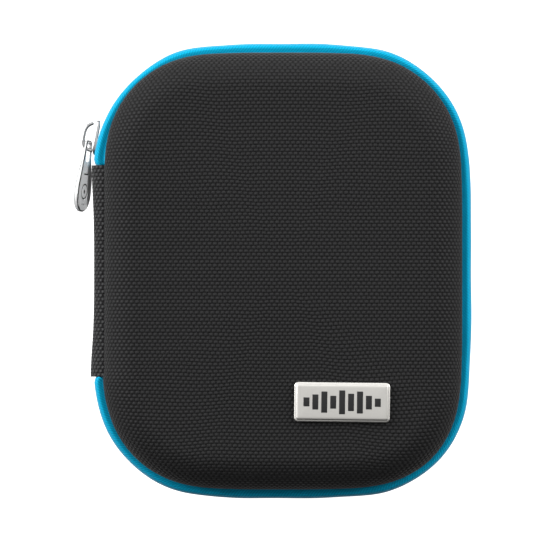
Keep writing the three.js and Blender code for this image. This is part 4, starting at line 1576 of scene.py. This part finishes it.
def make_badge(sizes):
    """The metal badge with its stepped, softly domed face, and the dark bars let into it."""
    half_x, half_y = badge_halves(sizes)
    place = badge_place(sizes)
    floor = box_mm("badge_inlay")[0][2] - 0.25
    rings = []
    for inset, height in BADGE_PROFILE:
        radius = max(BADGE_CORNER - inset, 0.25)
        flat = rounded_rectangle(half_x - inset, half_y - inset, radius)
        rings.append(place(flat, np.full(len(flat), floor + 0.2 + height)))
    bottom = rings[0].copy()
    bottom[:, 2] = floor
    skirt = rings[1].copy()
    skirt[:, 2] = floor + 0.15
    body = Body()
    body.add_tube(np.array([bottom, skirt, *rings[1:]]))
    body.make("badge_face", finish_for("badge_metal"), "lid", ["badge_plate"], "badge_metal")
    bars = Body()
    top = floor + 0.2 + BADGE_PROFILE[-1][1]
    for index, bar in enumerate(BADGE_BAR_HEIGHTS):
        middle = (index - (len(BADGE_BAR_HEIGHTS) - 1) / 2) * BADGE_BAR_PITCH
        layers = []
        for inset, z in ((0.0, floor + 0.5), (0.0, top), (0.03, top + 0.03), (0.1, top + 0.04)):
            flat = rounded_rectangle(BADGE_BAR_WIDTH / 2 - inset, bar / 2 - inset, 0.12, 4)
            layers.append(place(flat + (middle, 0), np.full(len(flat), z)))
        bars.add_tube(np.array(layers))
    bars.make("badge_bars", finish_for("badge_dark"), "lid", ["badge_inlay"], "badge_dark")


# ---- Stage ----

# What the camera takes in: its width and middle in millimetres, and its distance in metres.
VIEW_WIDTH = 147.507
VIEW_CENTRE = (-1.19, -1.86)
CAMERA_DISTANCE = 3.0

# How the studio's light falls: the key's direction, the cosines between which the sky grows
# from dim to bright, and its strength at both ends. The table's glow is seen by the camera only.
# A side box's power stands by its lean from straight overhead, in degrees.
KEY_DIRECTION = (-0.33, 0.89, 0.28)
SKY_SPREAD = (-0.3, 0.95)
SKY_STRENGTH = (0.04, 2.85)
TABLE_GLOW = 1.1
TABLE_HALF = 3.0
LAMP_POWER = 12.0
LAMP_LEAN = 14
LAMP_DISTANCE = 0.5
SIDE_POWERS = {-66: 8.5, 66: 8.0}
SIDE_DISTANCE = 0.7
SIDE_SHIFT = 0.3
SIDE_SIZE = 0.5


def make_camera(case):
    """A long lens straight over the case, with the case's +Y up in the picture."""
    data = bpy.data.cameras.new("camera")
    data.lens = data.sensor_width * CAMERA_DISTANCE / (VIEW_WIDTH * MM)
    camera = bpy.data.objects.new("camera", data)
    camera.location = (VIEW_CENTRE[0] * MM, VIEW_CENTRE[1] * MM, case.mid * MM + CAMERA_DISTANCE)
    bpy.context.scene.collection.objects.link(camera)
    bpy.context.scene.camera = camera


def make_floor():
    """A plain white light table under the case."""
    material, n, shader, where = new_material("floor")
    tone = n.noise(where["Object"], 3.0, 2.0)
    n.feed(shader["Base Color"], n.mix(tone, (0.27, 0.27, 0.27), (0.29, 0.29, 0.29)))
    shader["Roughness"].default_value = 0.9
    shader["Emission Color"].default_value = (1.0, 1.0, 1.0, 1.0)
    seen = n.add("ShaderNodeLightPath").outputs["Is Camera Ray"]
    n.feed(shader["Emission Strength"], n.math("MULTIPLY", seen, TABLE_GLOW))
    half = TABLE_HALF
    mesh = bpy.data.meshes.new("floor")
    corners = [(-half, -half), (half, -half), (half, half), (-half, half)]
    mesh.from_pydata([(x, y, -0.0001) for x, y in corners], [], [(0, 1, 2, 3)])
    mesh.materials.append(material)
    floor = bpy.data.objects.new("floor", mesh)
    bpy.context.scene.collection.objects.link(floor)


def make_lamp():
    """A small lamp, linked to the hanging pull, that lights nothing else."""
    aim = [(low + high) / 2 for low, high in zip(*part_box("pull_tab"))]
    data = bpy.data.lights.new("pull_lamp", "SPOT")
    data.energy = LAMP_POWER
    data.spot_size = math.radians(6)
    data.spot_blend = 1.0
    data.shadow_soft_size = 0.02
    lamp = bpy.data.objects.new("pull_lamp", data)
    lean = math.radians(LAMP_LEAN)
    across, up = math.sin(lean) * LAMP_DISTANCE, math.cos(lean) * LAMP_DISTANCE
    lamp.location = (aim[0] + across, aim[1], aim[2] + up)
    lamp.rotation_euler = (0, lean, 0)
    bpy.context.scene.collection.objects.link(lamp)
    lit = bpy.data.collections.new("pull_lamp_lights")
    lit.objects.link(bpy.data.objects["pull_tab_plate"])
    lamp.light_linking.receiver_collection = lit


def make_side_lights():
    """A soft box low on each side of the case."""
    for degrees, power in SIDE_POWERS.items():
        data = bpy.data.lights.new("side_box", "AREA")
        data.size = SIDE_SIZE
        data.energy = power
        light = bpy.data.objects.new("side_box", data)
        lean = math.radians(degrees)
        light.location = (math.sin(lean) * SIDE_DISTANCE, SIDE_SHIFT,
                          math.cos(lean) * SIDE_DISTANCE)
        light.rotation_euler = (0, lean, 0)
        bpy.context.scene.collection.objects.link(light)


def make_sky():
    """A pale surround, brightest towards the key and dim on the far side.

    The light from a direction follows its cosine to the key, and is held even at both ends.
    """
    world = bpy.data.worlds.new("studio")
    world.use_nodes = True
    n = Nodes(world.node_tree)
    background = world.node_tree.nodes["Background"]
    where = n.add("ShaderNodeTexCoord").outputs["Generated"]
    towards = n.add("ShaderNodeVectorMath", {"operation": "DOT_PRODUCT"})
    n.feed(towards.inputs[0], where)
    n.feed(towards.inputs[1], KEY_DIRECTION)
    strength = n.add("ShaderNodeMapRange", {"interpolation_type": "SMOOTHSTEP"},
                     Value=towards.outputs["Value"], From_Min=SKY_SPREAD[0],
                     From_Max=SKY_SPREAD[1], To_Min=SKY_STRENGTH[0], To_Max=SKY_STRENGTH[1])
    n.feed(background.inputs["Strength"], strength.outputs[0])
    n.feed(background.inputs["Color"], (1.0, 1.0, 1.0, 1.0))
    bpy.context.scene.world = world
    bpy.context.scene.view_settings.view_transform = "Standard"


# ---- Operators, panel and running ----


class CasePiece:
    """Shared by the operators: reads the settings, then makes its pieces."""

    bl_options = {"REGISTER", "UNDO"}

    def execute(self, context):
        """Makes this operator's pieces; any failure stops the script."""
        sizes = context.scene.case_sizes
        self.make(measure_case(sizes), sizes)
        return {"FINISHED"}


class CASE_OT_stage(CasePiece, bpy.types.Operator):
    """Add the camera, the floor and the lights"""

    bl_idname = "zipcase.stage"
    bl_label = "Stage"

    def make(self, case, sizes):
        make_camera(case)
        make_floor()
        make_sky()
        make_side_lights()


class CASE_OT_shells(CasePiece, bpy.types.Operator):
    """Add the covers, foam shells and linings"""

    bl_idname = "zipcase.shells"
    bl_label = "Shells"

    def make(self, case, sizes):
        make_shells(case, sizes)


class CASE_OT_bindings(CasePiece, bpy.types.Operator):
    """Add the rim bindings and their stitches"""

    bl_idname = "zipcase.bindings"
    bl_label = "Rim bindings"

    def make(self, case, sizes):
        make_bindings(case, sizes)


class CASE_OT_zip(CasePiece, bpy.types.Operator):
    """Add the zip's tapes and coils"""

    bl_idname = "zipcase.zip"
    bl_label = "Zip"

    def make(self, case, sizes):
        make_tapes(case)
        make_coils(case, sizes)


class CASE_OT_spine(CasePiece, bpy.types.Operator):
    """Add the cloth spine and its lining"""

    bl_idname = "zipcase.spine"
    bl_label = "Spine"

    def make(self, case, sizes):
        make_spine(case)


class CASE_OT_pocket(CasePiece, bpy.types.Operator):
    """Add the net pocket and its elastic"""

    bl_idname = "zipcase.pocket"
    bl_label = "Pocket"

    def make(self, case, sizes):
        make_pocket(case)


class CASE_OT_slider(CasePiece, bpy.types.Operator):
    """Add the zip slider, its crown and the pull tab"""

    bl_idname = "zipcase.slider"
    bl_label = "Slider and pull"

    def make(self, case, sizes):
        eased_copy("slider_body", "slider_plates", SLIDER_ROUNDING, "slider_metal", "slider")
        make_crown(case, sizes)
        make_pull(sizes)
        make_lamp()


class CASE_OT_badge(CasePiece, bpy.types.Operator):
    """Add the badge and its bars"""

    bl_idname = "zipcase.badge"
    bl_label = "Badge"

    def make(self, case, sizes):
        make_badge(sizes)


PIECES = (
    CASE_OT_stage,
    CASE_OT_shells,
    CASE_OT_bindings,
    CASE_OT_zip,
    CASE_OT_spine,
    CASE_OT_pocket,
    CASE_OT_slider,
    CASE_OT_badge,
)


class CASE_PT_panel(bpy.types.Panel):
    """Sizes, colours and pieces of the case"""

    bl_idname = "CASE_PT_panel"
    bl_label = "Zipped case"
    bl_space_type = "VIEW_3D"
    bl_region_type = "UI"
    bl_category = "Case"

    def draw(self, context):
        """Lists the settings and a button for each piece."""
        for settings in (context.scene.case_sizes, context.scene.case_colours):
            column = self.layout.column(align=True)
            for name in settings.__annotations__:
                column.prop(settings, name)
        for piece in PIECES:
            self.layout.operator(piece.bl_idname)


CLASSES = (CaseSizes, CaseColours, *PIECES, CASE_PT_panel)


def register():
    """Registers the classes and hangs the settings on the scene."""
    for cls in CLASSES:
        bpy.utils.register_class(cls)
    bpy.types.Scene.case_sizes = bpy.props.PointerProperty(type=CaseSizes)
    bpy.types.Scene.case_colours = bpy.props.PointerProperty(type=CaseColours)


def unregister():
    """Takes the settings and the classes away again."""
    del bpy.types.Scene.case_colours
    del bpy.types.Scene.case_sizes
    for cls in reversed(CLASSES):
        bpy.utils.unregister_class(cls)


def main():
    """Makes every piece in order."""
    register()
    for piece in PIECES:
        getattr(bpy.ops.zipcase, piece.bl_idname.split(".")[1])()


if __name__ == "__main__":
    main()
